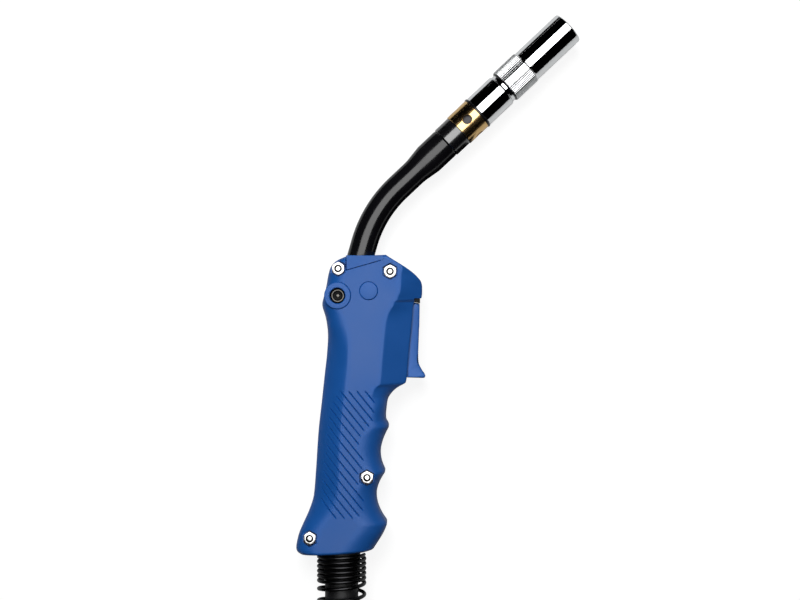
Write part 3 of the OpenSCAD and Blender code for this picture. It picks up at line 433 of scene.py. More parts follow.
BLUE = (0.0066, 0.094, 0.375)
FINE_GRAIN = 0.00001
M = {
    "handle_blue": moulded("handle_blue", BLUE, 0.45, vary=0.05, specular=0.36),
    "trigger_blue": moulded("trigger_blue", shade(BLUE, 1.08), 0.42, vary=0.05, specular=0.36),
    "chrome": metal("chrome", (0.86, 0.87, 0.88), 0.035, 0.000002, vary=0.02),
    "steel": metal("steel", (0.55, 0.54, 0.53), 0.22, 0.000003, vary=0.03),
    "brass": metal("brass", (0.76, 0.50, 0.22), 0.20, 0.000005, (1, 1, 14), vary=0.08),
    "copper": metal("copper", (0.86, 0.46, 0.28), 0.22, 0.00001),
    "gunmetal": metal("gunmetal", (0.10, 0.095, 0.085), 0.25, 0.000003, vary=0.03),
    "black_steel": metal("black_steel", (0.030, 0.030, 0.032), 0.30, 0.00001),
    "black_rubber": rubber("black_rubber", (0.010, 0.010, 0.011), 0.50),
    "black_plastic": moulded("black_plastic", (0.008, 0.008, 0.010), 0.24, FINE_GRAIN, 0.2),
    "neck_black": moulded("neck_black", (0.004, 0.004, 0.005), 0.16, FINE_GRAIN, 0.2),
    "sleeve_black": moulded(
        "sleeve_black", (0.004, 0.004, 0.005), 0.12, FINE_GRAIN, 0.2, coat=1.0, specular=1.0,
    ),
    "oxide_black": moulded("oxide_black", (0.004, 0.004, 0.004), 0.5, FINE_GRAIN, 0.2, specular=0.1),
    "dark_plastic": moulded("dark_plastic", (0.045, 0.045, 0.050), 0.5),
    "cream_ceramic": moulded("cream_ceramic", (0.72, 0.66, 0.52), 0.55),
    "red_plastic": moulded("red_plastic", (0.45, 0.02, 0.02), 0.35),
}
SLOTS = {sub["node"]: sub["material_slot"] for sub in frame["record"]["subparts"]}
for node_name, node_object in NODES.items():
    node_object.data.materials.clear()
    node_object.data.materials.append(M[SLOTS[node_name]])


def stand_in(name, mesh, material, *nodes, body="torch", sharp=SHARP):
    """A piece that takes the place of CAD nodes."""
    obj = finish_mesh(name, mesh, M[material], sharp)
    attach(obj, body)
    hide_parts(*nodes)
    return obj


def addition(name, mesh, material):
    """A small piece that the solids lack. It stays on the torch and takes the material it is given."""
    obj = finish_mesh(name, mesh, M[material], SHARP)
    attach(obj, "torch")


# ---------- Cable ----------

CORD_START_Y, CORD_END_Y = -144.0, -414.0
CORD_STEP = 5.0
COIL_CENTRE = np.array([116.0, -307.0])
COIL_R = 130.0
COIL_PITCH = 20.6
COIL_LAYER_TURNS = 2
COIL_STEPS = 140
COIL_LOW_Z = 10.0
# The cable sinks to the coil, and rises from it to the connector, where these stretches of y start
SINK_START_Y, SINK_RUN = -200.0, 87.0
RISE_START_Y, RISE_RUN = -325.0, 65.0
# The coil climbs to its upper layer over this share of a turn
CLIMB_TURNS = 0.5
STRAP_THICK = 1.2


def smooth(u):
    u = np.clip(u, 0, 1)
    return u * u * (3 - 2 * u)


def coil_point(turn):
    """A point of the coil, which spirals in on its lower layer and out again on its upper one."""
    a = math.pi + TAU * turn
    r = COIL_R - COIL_PITCH * (COIL_LAYER_TURNS - abs(turn - COIL_LAYER_TURNS))
    strap_lift = STRAP_THICK * smooth(1.6 * math.cos(a) - 0.6)
    climb = smooth((turn - COIL_LAYER_TURNS + CLIMB_TURNS / 2) / CLIMB_TURNS)
    return (
        COIL_CENTRE[0] + r * math.cos(a), COIL_CENTRE[1] + r * math.sin(a),
        COIL_LOW_Z + strap_lift + COIL_PITCH * climb,
    )


def cable_path():
    out = []
    for y in np.arange(CORD_START_Y, COIL_CENTRE[1] + 3, -CORD_STEP):
        sunk = smooth((SINK_START_Y - y) / SINK_RUN)
        out.append((CABLE_X, y, MID_Z - (MID_Z - COIL_LOW_Z) * sunk))
    steps = 2 * COIL_LAYER_TURNS * COIL_STEPS
    out += [coil_point(2 * COIL_LAYER_TURNS * i / steps) for i in range(steps + 1)]
    top_z = COIL_LOW_Z + COIL_PITCH
    for y in np.arange(COIL_CENTRE[1] - 6, CORD_END_Y, -CORD_STEP):
        out.append((CABLE_X, y, top_z - (top_z - PLUG_Z) * smooth((RISE_START_Y - y) / RISE_RUN)))
    out.append((CABLE_X, CORD_END_Y, PLUG_Z))
    return np.array(out)


cord_path = cable_path()
cable_mesh = rings_mesh(tube_rings(cord_path, np.full(len(cord_path), CABLE_R), 28))
cable = stand_in("cable_skin", cable_mesh, "black_rubber", "cable", "cable_coil", "cable_tail")

# ---------- Springs ----------

CLOSE, OPEN = 2.85, 7.0
SPRING_R, SPRING_WIRE = 13.7, 2.3
SPRING_START_Y = HANDLE_LOW + LEAN * (CABLE_X - SPRING_R) - SPRING_WIRE / 2 - 0.3


def spring_path(radius, runs, steps):
    """Centreline of a spring along +Z, whose rise a turn eases from one run to the next."""
    turns = sum(r[0] for r in runs)
    grid = np.arange(int(turns * steps) + 1) / steps
    ends = np.cumsum([0] + [r[0] for r in runs])
    run_at = [min(np.searchsorted(ends, t, "right") - 1, len(runs) - 1) for t in grid]
    kernel = np.hanning(int(steps * 0.5) | 1)
    eased = blurred(np.array([runs[k][1] for k in run_at], float), kernel / kernel.sum())
    z = np.concatenate([[0], np.cumsum((eased[1:] + eased[:-1]) / 2)]) / steps
    z *= sum(r[0] * r[1] for r in runs) / z[-1]
    a = TAU * grid
    return np.stack([radius * np.cos(a), radius * np.sin(a), z], axis=1)


def spring_mesh(place, radius, wire, runs, sides=12, steps=40):
    """A spring with tapered wire ends. runs is a list of (turns, rise of one turn)."""
    path = spring_path(radius, runs, steps)
    radii = np.full(len(path), wire / 2)
    for k, share in enumerate((0.55, 0.85, 0.96)):
        radii[k] *= share
        radii[-1 - k] *= share
    return placed(rings_mesh(tube_rings(path, radii, sides)), place)


for node, place, runs in (
    ("strain_spring", down_cable(SPRING_START_Y, MID_Z), [(6, CLOSE), (9, OPEN), (3, CLOSE)]),
    ("plug_spring", plug_at(SPRING_WIRE / 2), [(3, CLOSE), (4, 5.5), (3, CLOSE)]),
):
    stand_in(node + "_wire", spring_mesh(place, SPRING_R, SPRING_WIRE, runs), "black_steel", node)

# ---------- Collar between the handle and the cable ----------

END_WALL = 6.0
FLANGE_THICK = 4.0
FLANGE_R = 13.2
COLLAR_OUT = 6.0
SEAT_TOP_Y = HANDLE_LOW + END_WALL + LEAN * CABLE_X + FLANGE_THICK + 1
seat_run = SEAT_TOP_Y - HANDLE_LOW + COLLAR_OUT
collar_profile = [
    (CABLE_R + 0.05, 0), (FLANGE_R, 0), (FLANGE_R, FLANGE_THICK - 0.3), (COLLAR_R, FLANGE_THICK - 0.3),
    (COLLAR_R, seat_run), (11.1, seat_run + 1), (10.6, seat_run + 6.1), (CABLE_R + 0.05, seat_run + 6.1),
]
collar_mesh = lathe_mesh(soften(collar_profile, 0.5), down_cable(SEAT_TOP_Y, MID_Z), 72)
stand_in("cable_collar", collar_mesh, "black_rubber", "spring_seat")

# ---------- Handle: its sections ----------

# Each table holds (level, value). The edges are x, and the rest are widths and heights of the section
BACK_EDGE = [
    (-131.8, -37.2), (-130.5, -39.9), (-128, -40.8), (-121, -39.6), (-111, -35.4), (-105.6, -33),
    (-97, -30.4), (-83, -29.2), (-59, -27.6), (-40, -25.5), (-26, -24), (-12.4, -22.5), (-2, -21.9),
    (5, -22.5), (9.3, -23.4), (16.5, -25.3), (22, -24), (27.3, -22.8), (34, -21.6), (38, -20.4), (41, -18),
    (43, -15), (44.2, -10.8),
]
FRONT_EDGE = [
    (-131.8, 0), (-130.7, 4.8), (-129, 6), (-117.8, 12.6), (-115, 13.4), (-84.5, 12.5), (-58, 14.5),
    (-55.7, 13.8), (-54, 12.8), (-51.5, 12.6), (-47, 13), (-43, 13.5), (-40.7, 14.1), (-38.4, 15.6),
    (-35.8, 18), (-33.8, 21), (-32.1, 24.4), (-29, 25), (-20, 25.8), (-7, 27), (3.7, 28.2), (15.7, 29.4),
    (17.3, 33.6), (21.5, 34.2), (24.5, 34.2), (27.5, 33.6), (30, 31.8), (32.5, 29.4), (44.2, 12.6),
]
FINGER_HOLLOWS = [(-115, -84.5, 5.9), (-84.5, -58, 3.9)]
SLOPE_WIDTH = [
    (-131.8, 19), (-126, 18.5), (-118, 17), (-112, 17), (-100, 15), (-92, 12.5), (-86, 9.5), (-84, 10),
    (-80, 11.5), (-69, 13.5), (-64, 13.5), (-60.5, 12.5), (-58, 11.5), (-54, 10.5), (-43, 9.5), (-38.4, 11),
    (-35.8, 12.5), (-32, 15.2), (3.7, 15.5), (9.3, 14.3), (15.7, 11.5), (17.3, 14.6), (21.5, 13.2),
    (27.5, 12.1), (30, 10.2), (32.5, 7.7), (36.2, 2.2), (38, 0.5), (44.2, 0.4),
]
SLOPE_FOOT = [
    (-131.8, 7), (-42, 7), (-33, 10), (12, 10.2), (15.7, 9.9), (17.3, 8.6), (24.5, 8.8), (27.5, 9.8),
    (30, 11.3), (32.5, 13), (36.2, 16.4), (38, 17.6), (44.2, 17.6),
]
# 1 makes the front slope a quarter ellipse, and 0 makes it flat
SLOPE_ROUNDNESS = [(-131.8, 1), (-46, 1), (-32, 0), (44.2, 0)]
BACK_WIDTH = [
    (-131.8, 12), (-118, 13), (-105, 15), (-90, 14.5), (-60, 13.5), (-25, 13.5), (-8, 12.5), (6, 11),
    (14, 10), (36, 10), (44.2, 5),
]
# 1 makes the back edge an ellipse, and more than 1 makes it a chamfer with rounded ends
BACK_BLUNTNESS = [(-131.8, 1), (-118, 1), (-104, 1.3), (-90, 1.5), (-12, 1.5), (6, 1), (44.2, 1)]
TABLE_STEP = 0.1


def eased_table(table, sigma):
    """A table of (level, value) at fine steps: a monotone cubic, then slightly blurred."""
    x, y = np.array(table, float).T
    h, d = np.diff(x), np.diff(y) / np.diff(x)
    m = np.zeros(len(x))
    m[0], m[-1] = d[0], d[-1]
    for i in range(1, len(x) - 1):
        if d[i - 1] * d[i] > 0:
            w1, w2 = 2 * h[i] + h[i - 1], h[i] + 2 * h[i - 1]
            m[i] = (w1 + w2) / (w1 / d[i - 1] + w2 / d[i])
    grid = np.arange(HANDLE_LOW - 10, HANDLE_HIGH + 10, TABLE_STEP)
    inside = np.clip(grid, x[0], x[-1])
    i = np.clip(np.searchsorted(x, inside, "right") - 1, 0, len(x) - 2)
    t = (inside - x[i]) / h[i]
    values = (
        (1 + 2 * t) * (1 - t) ** 2 * y[i] + t * (1 - t) ** 2 * h[i] * m[i]
        + t * t * (3 - 2 * t) * y[i + 1] + t * t * (t - 1) * h[i] * m[i + 1]
    )
    return grid, blurred(values, bell(int(40 * sigma), TABLE_STEP, sigma))


TABLES = {
    "back": eased_table(BACK_EDGE, 0.7),
    "front": eased_table(FRONT_EDGE, 0.45),
    "width": eased_table(SLOPE_WIDTH, 0.8),
    "foot": eased_table(SLOPE_FOOT, 0.6),
    "roundness": eased_table(SLOPE_ROUNDNESS, 1.0),
    "back_width": eased_table(BACK_WIDTH, 1.0),
    "bluntness": eased_table(BACK_BLUNTNESS, 1.5),
}


def value(name, level):
    grid, values = TABLES[name]
    return float(np.interp(level, grid, values))


def hollow(level):
    deepest = 0.0
    for low, high, depth in FINGER_HOLLOWS:
        u = (2 * level - low - high) / (high - low)
        if abs(u) < 1:
            deepest = max(deepest, depth * (1 - u * u))
    return deepest


HOLLOW_GRID = np.arange(HANDLE_LOW - 2, HANDLE_HIGH + 2, TABLE_STEP)
HOLLOWS = blurred(np.array([hollow(v) for v in HOLLOW_GRID]), bell(20, TABLE_STEP, 0.6))
WALL = 2.5


def section(level, inset=0.0):
    """One section of a half handle as (x, height over the parting plane), from its back to its front.

    With an inset it is a plainer section of the cavity.
    """
    back = value("back", level) + inset
    front = value("front", level) - float(np.interp(level, HOLLOW_GRID, HOLLOWS)) - inset
    top = MID_Z - inset
    back_width, blunt = value("back_width", level), value("bluntness", level)
    back_height = 6 + 4 * blunt
    width, roundness = value("width", level), value("roundness", level)
    foot = value("foot", level)
    low, steps = 0.0, 16
    if inset:
        foot = min(foot - 0.6 * inset, top - 0.5)
        low, steps = -1.0, 4
    arc, slope = [], []
    for share in np.linspace(0, 1, steps + 1):
        a = share * math.pi / 2
        arc.append((
            back + back_width * (1 - max(0.0, math.cos(a)) ** blunt),
            MID_Z - back_height + (back_height - inset) * math.sin(a) ** blunt,
        ))
        slope.append((
            front - width * (roundness * (1 - math.cos(a)) + (1 - roundness) * share),
            foot + (top - foot) * (roundness * math.sin(a) + (1 - roundness) * share),
        ))
    slope = slope[::-1]
    if inset:
        return [(back, low)] + arc + slope + [(front, low)]
    return rounded_section([(back, low)], arc, slope, [(front, low)])


def resample(points, shares):
    """Points at shares of a line's length, and its length."""
    points = np.array(points, float)
    run = np.concatenate([[0], np.cumsum(np.linalg.norm(np.diff(points, axis=0), axis=1))])
    at_run = np.array(shares) * run[-1]
    return np.stack([np.interp(at_run, run, points[:, k]) for k in (0, 1)], axis=1), run[-1]


EDGE_SOFTNESS = 0.45
FINE = 0.12
# Points on the back wall, the back edge, the flat top, the front slope and the front wall
SECTION_COUNTS = (5, 15, 10, 18, 6)


def rounded_section(back, arc, slope, front):
    """The section with its edges rounded, always as the same number of points."""
    parts = [back + arc[:1], arc, [arc[-1], slope[0]], slope, slope[-1:] + front]
    lengths = [resample(p, [0, 1])[1] for p in parts]
    total = sum(lengths)
    samples = int(total / FINE) + 1
    grid = np.linspace(0, total, samples)
    dense, _ = resample(back + arc + slope + front, np.linspace(0, 1, samples))
    step = total / (samples - 1)
    reach = int(3 * EDGE_SOFTNESS / step) + 1
    kernel = bell(reach, step, EDGE_SOFTNESS)
    before = np.stack([np.full(reach, dense[0, 0]), dense[0, 1] - step * np.arange(reach, 0, -1)], axis=1)
    after = np.stack([np.full(reach, dense[-1, 0]), dense[-1, 1] - step * np.arange(1, reach + 1)], axis=1)
    padded = np.concatenate([before, dense, after])
    x, z = (np.convolve(padded[:, k], kernel, "valid") for k in (0, 1))
    run_at, wanted = 0.0, [0.0]
    for length, count in zip(lengths, SECTION_COUNTS):
        wanted += [run_at + length * (1 - math.cos(math.pi * k / count)) / 2 for k in range(1, count + 1)]
        run_at += length
    return [(float(np.interp(w, grid, x)), float(np.interp(w, grid, z))) for w in wanted]


END_ROUND = 1.6
SEAM = 0.22
# Levels of the sections: (first, last, step), and the distances of the last few from each end
LOFT_STRETCHES = [
    (HANDLE_LOW + 2, HANDLE_HIGH - 2, 0.7), (-60, -29, 0.35), (13.5, 19.5, 0.25), (26, 40, 0.35),
]
LOFT_ENDS = np.array([0, 0.06, 0.2, 0.4, 0.7, 1.05, 1.45, 1.9])
LOFT_NEAREST = 0.05


def loft_levels():
    parts = [np.arange(*stretch) for stretch in LOFT_STRETCHES]
    parts += [HANDLE_LOW + LOFT_ENDS, HANDLE_HIGH - LOFT_ENDS]
    levels = np.unique(np.round(np.concatenate(parts), 3))
    keep = [levels[0]]
    for v in levels[1:]:
        if v - keep[-1] > LOFT_NEAREST:
            keep.append(v)
    return keep


def outer_half():
    """Half a handle without holes, with rounded ends and a small chamfer at the parting plane."""
    rings = []
    for level in loft_levels():
        from_end = min(level - HANDLE_LOW, HANDLE_HIGH - level)
        u = max(0.0, END_ROUND - from_end)
        drop = END_ROUND - math.sqrt(END_ROUND ** 2 - u * u)
        points = section(level)
        middle = (points[0][0] + points[-1][0]) / 2
        ring = []
        for k, (x, z) in enumerate(points):
            squeeze = drop * min(1.0, z / MID_Z)
            edge = SEAM if k in (0, len(points) - 1) else 0.0
            x += edge if x < middle else -edge
            ring.append((x, level + LEAN * x, z - squeeze))
        for place, (x, _) in ((1, points[0]), (-1, points[-1])):
            ring.insert(place, (x, level + LEAN * x, SEAM))
        rings.append(ring)
    return rings_mesh(rings)


CAVITY_LEVELS = [
    -125.8, -124.5, -121, -117.8, -115, -112, -108, -104, -99.7, -95, -91, -87.5, -84.5, -81.5, -77.5,
    -71.2, -65, -61, -58, -55.7, -53.5, -47, -43, -40.6, -38.4, -35.8, -33.8, -32.1, -29, -20, -7, 3.7, 9.3,
    12.5, 15.7, 17.3, 21.5, 24.5, 27.5, 30, 32.5, 36.2, 38, 41, 41.7,
]


def cavity_half():
    rings = []
    for level in CAVITY_LEVELS:
        rings.append([(x, level + LEAN * x, z) for x, z in section(level, WALL)])
    return rings_mesh(rings)


def surface_height(x, y):
    """Height of the handle's outside over the parting plane."""
    xs, zs = zip(*section(y - LEAN * x))
    if x <= xs[0] or x >= xs[-1]:
        return 0.0
    return float(np.interp(x, np.maximum.accumulate(xs), zs))


# ---------- Handle: its holes, bosses and raised faces ----------

# Heights are over the parting plane. Each shell screw has x, y and how far its head and nut lie too deep
SCREWS = [(-15.6, 36.6, 1.8), (15.1, 34.9, 0), (1.5, -86.9, 0.8), (-32.4, -122.8, 0.6)]
SCREW_HOLE_R = 2.15
HEAD_DEPTH, HEAD_POCKET_R = 3.4, 3.9
NUT_DEPTH = 3.5
POCKET_R = corner_radius(8.7)
BOSS_R = 3.4
PIVOT = (26.5, 12.5)
PIN_HOLE_R = 1.55
SLOT_LOW, SLOT_HIGH, SLOT_HALF = -28.9, 17.2, 7.4
CLAMP_SCREW = (-15.96, 20.56)
CLAMP_RING_R, CLAMP_HOLE_R = 7.8, 4.6
PAD = (2.5, 23.4)
PAD_R = 5.2
PAD_RISE = 0.6
SWITCH_SCREWS = [(7, -0.8), (7, -16.2)]
# Heights that the tools inside a shell start and end at, past the parting plane and past the cavity's top
UNDER, OVER = -3, 30


def neck_rod(radius, back, length):
    """A rod along the neck's straight foot, from back behind the bend, in the shell's own heights."""
    x, y = NECK_BEND_START - back * EXIT_AXIS
    profile = [(0, 0), (radius, 0), (radius, length), (0, length)]
    return lathe_mesh(profile, facing(EXIT_AXIS, x, y, 0), 64)


def insides(near):
    """Walls and bosses inside a shell."""
    out = []
    for x, y, dip in SCREWS:
        out.append(rod(x, y, UNDER, OVER, BOSS_R))
        out.append(rod(x, y, MID_Z - dip - NUT_DEPTH - 2, OVER + 1, POCKET_R + 1.2))
    out.append(rod(*PIVOT, SLOT_HALF, OVER, BOSS_R))
    out.append(block((8, -26.5, UNDER), (10, -20.5, OVER)))
    out.append(rod(*CLAMP_SCREW, 8.3, OVER, CLAMP_RING_R))
    if not near:
        out += [rod(x, y, 3.3, OVER, 2.6) for x, y in SWITCH_SCREWS]
    out.append(neck_rod(10.5, 17, 17))
    return out


RIB_REGION = [
    (-15.6, -36.3), (2.6, -36.3), (6.0, -41.5), (6.2, -48), (4.4, -57.3), (0.6, -60.0), (-2.2, -63.5),
    (-3.4, -68.5), (-2.8, -74), (-0.4, -79.2), (2.2, -83), (-3.2, -84.5), (-4.6, -90), (-3.2, -95),
    (-1.5, -99.5), (0.4, -107), (-4.2, -113.6), (-21.5, -113.6), (-27.2, -106), (-26.4, -95), (-24.6, -75),
    (-23.2, -60), (-21.2, -46),
]
# The ribs lie this much nearer the middle of the view than they look from the camera
NEAR_SCALE = 1 - MID_Z / CAMERA_UP
RIB_REGION = [NEAR_SCALE * (np.array(p) - VIEW_CENTRE) + VIEW_CENTRE for p in RIB_REGION]
RIB_ALONG = np.array([0.629, -0.777])
RIB_ACROSS = np.array([0.777, 0.629])
RIB_PITCH, RIB_PHASE = 3.78, -29.7
RIB_HALF, RIB_DEPTH = 0.46, 0.72
RIB_SHORTEST = 2.5
RIB_RUN_OUT = 0.9
RIB_STEP = 1.1
RIB_LIFT = 0.5


def rib_spans():
    """Where each groove starts and stops inside the ribbed region, as distances along it."""
    spans = []
    for n in range(-30, 30):
        u = RIB_PHASE + n * RIB_PITCH
        hits = []
        for p, q in zip(RIB_REGION, RIB_REGION[1:] + RIB_REGION[:1]):
            up, uq = p @ RIB_ACROSS - u, q @ RIB_ACROSS - u
            if up * uq < 0:
                r = p + (q - p) * up / (up - uq)
                hits.append(float(r @ RIB_ALONG))
        hits.sort()
        spans += [(u, a, b) for a, b in zip(hits[::2], hits[1::2]) if b - a > RIB_SHORTEST]
    return spans


def rib_cutter(u, start, stop):
    """A V groove that follows the surface and runs out at both ends."""
    rings = []
    count = max(6, int((stop - start) / RIB_STEP))
    for k in range(count + 1):
        t = start + (stop - start) * k / count
        fade = min(1.0, (t - start + 0.05) / RIB_RUN_OUT, (stop - t + 0.05) / RIB_RUN_OUT)
        depth, half = RIB_DEPTH * fade, RIB_HALF * (0.35 + 0.65 * fade)
        centre = u * RIB_ACROSS + t * RIB_ALONG
        z = surface_height(*centre)
        z_left, z_right = (surface_height(*(centre + side * half * RIB_ACROSS)) for side in (-1, 1))
        wide = half * (1 + RIB_LIFT / depth) if depth > 0.12 else half * 2
        slope = (z_right - z_left) / 2 / half * wide
        rings.append([
            (*centre, z - depth),
            (*(centre + wide * RIB_ACROSS), z + RIB_LIFT + slope),
            (*(centre - wide * RIB_ACROSS), z + RIB_LIFT - slope),
        ])
    return rings_mesh(rings)


# The raised panel at the handle's front, and the grooves along its left and lower edges
PANEL = [
    (-10.9, 44.3), (-10.8, 35.6), (-10.3, 35.5), (9.4, 41.1), (10.9, 41.75), (11.4, 42.5), (11.35, 43.3),
    (10.6, 44.2),
]
PANEL_GROOVES = [
    ((-10.9, 43.8), (-10.75, 35.5), 0.36, 1.7),
    ((-10.75, 35.5), (9.6, 41.3), 0.28, 0.9),
]
RING_GROOVE_HALF, RING_GROOVE_DEPTH = 0.25, 0.35


def panel_mesh():
    return rings_mesh([
        [(x, y, MID_Z - 1.2) for x, y in PANEL], [(x, y, MID_Z + 0.22) for x, y in PANEL],
        [(x * 0.985, (y - 40) * 0.965 + 40, MID_Z + 0.40) for x, y in PANEL],
    ])


def panel_groove(p, q, half, depth):
    """A straight V groove in the panel, which runs a little past both ends."""
    p, q = np.array(p), np.array(q)
    along = (q - p) / np.linalg.norm(q - p)
    side = np.array([-along[1], along[0]]) * half
    z = MID_Z + 0.25
    rings = []
    for end in (p - 0.1 * along, q + 0.1 * along):
        rings.append([(*end, z - depth), (*(end + 2 * side), z + depth), (*(end - 2 * side), z + depth)])
    return rings_mesh(rings)


def ring_groove(x, y, r):
    """A round V groove in the flat top."""
    low, high = MID_Z - RING_GROOVE_DEPTH, MID_Z + RING_GROOVE_DEPTH
    profile = [(r, low), (r + 2 * RING_GROOVE_HALF, high), (r - 2 * RING_GROOVE_HALF, high)]
    return lathe_mesh(profile, at(x, y, 0), 96)


def rounded_pad(x, y, radius, low, high):
    profile = soften([(0, low), (radius, low, 0), (radius, high), (0, high)], 0.5)
    return lathe_mesh(profile, at(x, y, 0), 72)


def hex_pocket(x, y, low, high):
    """A hexagonal hole with a chamfered mouth at high."""
    levels = [(0, low), (0, high - 0.15), (0.17, high + 0.05), (0.17, high + 12)]
    rings = []
    for grow, z in levels:
        rings.append([(x + px, y + py, z) for px, py in hexagon(POCKET_R + grow, math.pi / 2)])
    return rings_mesh(rings)


def near_cuts():
    rim = MID_Z + PAD_RISE
    mouth = [
        (0, -2), (CLAMP_HOLE_R, -2), (CLAMP_HOLE_R, rim - 0.4), (CLAMP_HOLE_R + 0.4, rim),
        (CLAMP_HOLE_R + 0.4, MID_Z + 3), (0, MID_Z + 3),
    ]
    return [
        *[hex_pocket(x, y, MID_Z - dip - NUT_DEPTH, MID_Z - dip) for x, y, dip in SCREWS],
        lathe_mesh(mouth, at(*CLAMP_SCREW, 0), 64),
        *[panel_groove(*groove) for groove in PANEL_GROOVES],
        ring_groove(*CLAMP_SCREW, CLAMP_RING_R + 0.15), ring_groove(*PAD, PAD_R + 0.15),
    ]


def far_cuts():
    cuts = []
    for x, y, dip in SCREWS:
        z = MID_Z - dip
        mouth = [
            (0, z - HEAD_DEPTH), (HEAD_POCKET_R, z - HEAD_DEPTH), (HEAD_POCKET_R, z - 0.35),
            (HEAD_POCKET_R + 0.4, z + 0.05), (HEAD_POCKET_R + 0.4, z + 5), (0, z + 5),
        ]
        cuts.append(lathe_mesh(mouth, at(x, y, 0), 56))
    return cuts + [rod(x, y, -2, 10, 1.05, 24) for x, y in SWITCH_SCREWS]


def shell(near):
    body = outer_half()
    if near:
        rim = MID_Z + PAD_RISE
        ring = rounded_pad(*CLAMP_SCREW, CLAMP_RING_R, 12.0, rim)
        pad = rounded_pad(*PAD, PAD_R, MID_Z - 1.5, rim)
        body = carve(body, ring, pad, panel_mesh(), operation="UNION")
    collar_r = COLLAR_R + 0.1
    collar_bore = [(0, 0), (collar_r, 0), (collar_r, 18), (0, 18)]
    cuts = [
        carve(cavity_half(), *insides(near)),
        block((PIVOT[0] - 6, SLOT_LOW, -1), (PIVOT[0] + 14, SLOT_HIGH, SLOT_HALF)),
        rod(*PIVOT, -2, 9.4, PIN_HOLE_R),
        neck_rod(8.05, 30, 45),
        lathe_mesh(collar_bore, down_cable(HANDLE_LOW + 8, 0), 64),
    ]
    cuts += [rod(x, y, -2, MID_Z + 2, SCREW_HOLE_R, 32) for x, y, _ in SCREWS]
    cuts += near_cuts() if near else far_cuts()
    # The notch for the trigger's bumper, and the ribs
    cuts += [block((29.4, 16.6, -1), (40, 19.0, 22)), joined(*[rib_cutter(*span) for span in rib_spans()])]
    turn = Matrix.Diagonal((1, 1, 1 if near else -1, 1))
    return placed(carve(body, *cuts), at(0, 0, MID_Z) @ turn)


HANDLE_SHARP = math.radians(28)
stand_in("handle_near", shell(True), "handle_blue", "handle_near_shell", sharp=HANDLE_SHARP)
stand_in("handle_far", shell(False), "handle_blue", "handle_far_shell", sharp=HANDLE_SHARP)

# ---------- Fasteners on the handle ----------

NUT_THICK, NUT_FLATS, NUT_HOLE_R = 3.2, 7.0, 2.05
HEAD_THICK, HEAD_R = 2.6, 3.5
SCREW_R = 1.98
SCREW_PROUD = (0.3, 0.3, -0.5, -0.5)
THREAD_RUN, THREAD_PITCH, THREAD_DEPTH = 6.5, 0.7, 0.28


def nut_mesh(x, y, low):
    """A hexagon nut with chamfered corners on both faces, and a chamfered bore."""
    half, corner = NUT_FLATS / 2, corner_radius(NUT_FLATS)
    chamfer = (corner - half) * 0.45
    top, hole = NUT_THICK, NUT_HOLE_R
    cone = [
        (0, -0.01), (half - 0.1, -0.01), (corner + 0.25, chamfer + 0.1),
        (corner + 0.25, top - chamfer - 0.1), (half - 0.1, top + 0.01), (0, top + 0.01),
    ]
    bore = [
        (0, -0.2), (hole + 0.3, -0.2), (hole + 0.3, 0.02), (hole, 0.45), (hole, top - 0.9),
        (hole + 0.2, top - 0.8), (hole + 0.3, top + 0.2), (0, top + 0.2),
    ]
    place = at(x, y, low)
    solid = hex_mesh(NUT_FLATS, 0, top, place, math.pi / 2)
    solid = carve(solid, lathe_mesh(cone, place, 96), operation="INTERSECT")
    return carve(solid, lathe_mesh(bore, place, 48))


def threaded_rod(x, y, low, high):
    """A rod whose upper part carries a fine thread, as closed ridges, with a chamfered end."""
    z, root = high - THREAD_RUN, SCREW_R - THREAD_DEPTH
    profile = [(0, low), (SCREW_R, low), (SCREW_R, z)]
    while z + THREAD_PITCH < high - 1.2:
        ridge = z + THREAD_PITCH
        profile += [(SCREW_R, z + 0.1), (root, z + THREAD_PITCH / 2), (SCREW_R, ridge - 0.1)]
        z = ridge
    end = [(0.05, 1.15), (0.45, 1.0), (0.5, 0.16), (0.65, 0.04), (0.9, 0)]
    profile += [(SCREW_R - inward, high - down) for inward, down in end]
    return lathe_mesh(profile + [(0, high)], at(x, y, 0), 32)


def shell_fasteners():
    """The nuts, the screws, and a black ring of painted shade in the gap between each nut and the end of
    its screw.
    """
    nuts, screws, painted_shade_rings = [], [], []
    for (x, y, dip), proud in zip(SCREWS, SCREW_PROUD):
        nut_z = 2 * MID_Z - dip - NUT_DEPTH
        nut_top = nut_z + NUT_THICK
        nuts.append(nut_mesh(x, y, nut_z))
        head_z = dip + HEAD_DEPTH - HEAD_THICK
        shank = threaded_rod(x, y, head_z + 1.5, nut_top + proud)
        head = [(0, head_z + HEAD_THICK), (HEAD_R, head_z + HEAD_THICK), (HEAD_R, head_z), (0, head_z)]
        head = lathe_mesh(soften(head, 0.5), at(x, y, 0), 64)
        socket = hex_mesh(2.5, head_z - 1, head_z + 1.6, at(x, y, 0))
        screws.append(carve(carve(head, shank, operation="UNION"), socket))
        # A thin black ring down each nut's bore stands in for the shade round the screw's end: painted
        # shade
        low, high = nut_top - 0.72, nut_top - 0.5
        painted_shade_rings.append(lathe_mesh([(1.4, low), (2.2, low), (2.2, high), (1.4, high)], at(x, y, 0), 48))
    return joined(*nuts), joined(*screws), joined(*painted_shade_rings)


nuts_mesh, screws_mesh, painted_shade_mesh = shell_fasteners()
stand_in("shell_nut_set", nuts_mesh, "steel", "shell_nuts")
stand_in("shell_screw_set", screws_mesh, "steel", "shell_screws")
# The black rings are painted shade in the gaps between the nuts and the ends of their screws
addition("painted_thread_shade", painted_shade_mesh, "oxide_black")

# Heights of the clamp screw's head: its underside, its knurl and its top
CLAMP_HEAD_LOW, CLAMP_KNURL_LOW, CLAMP_KNURL_HIGH, CLAMP_HEAD_HIGH = 26, 26.3, 29.5, 30
CLAMP_HEAD_R = 4.2
CLAMP_KNURL_RIBS = 30
CLAMP_PLACE = at(*CLAMP_SCREW, 0)


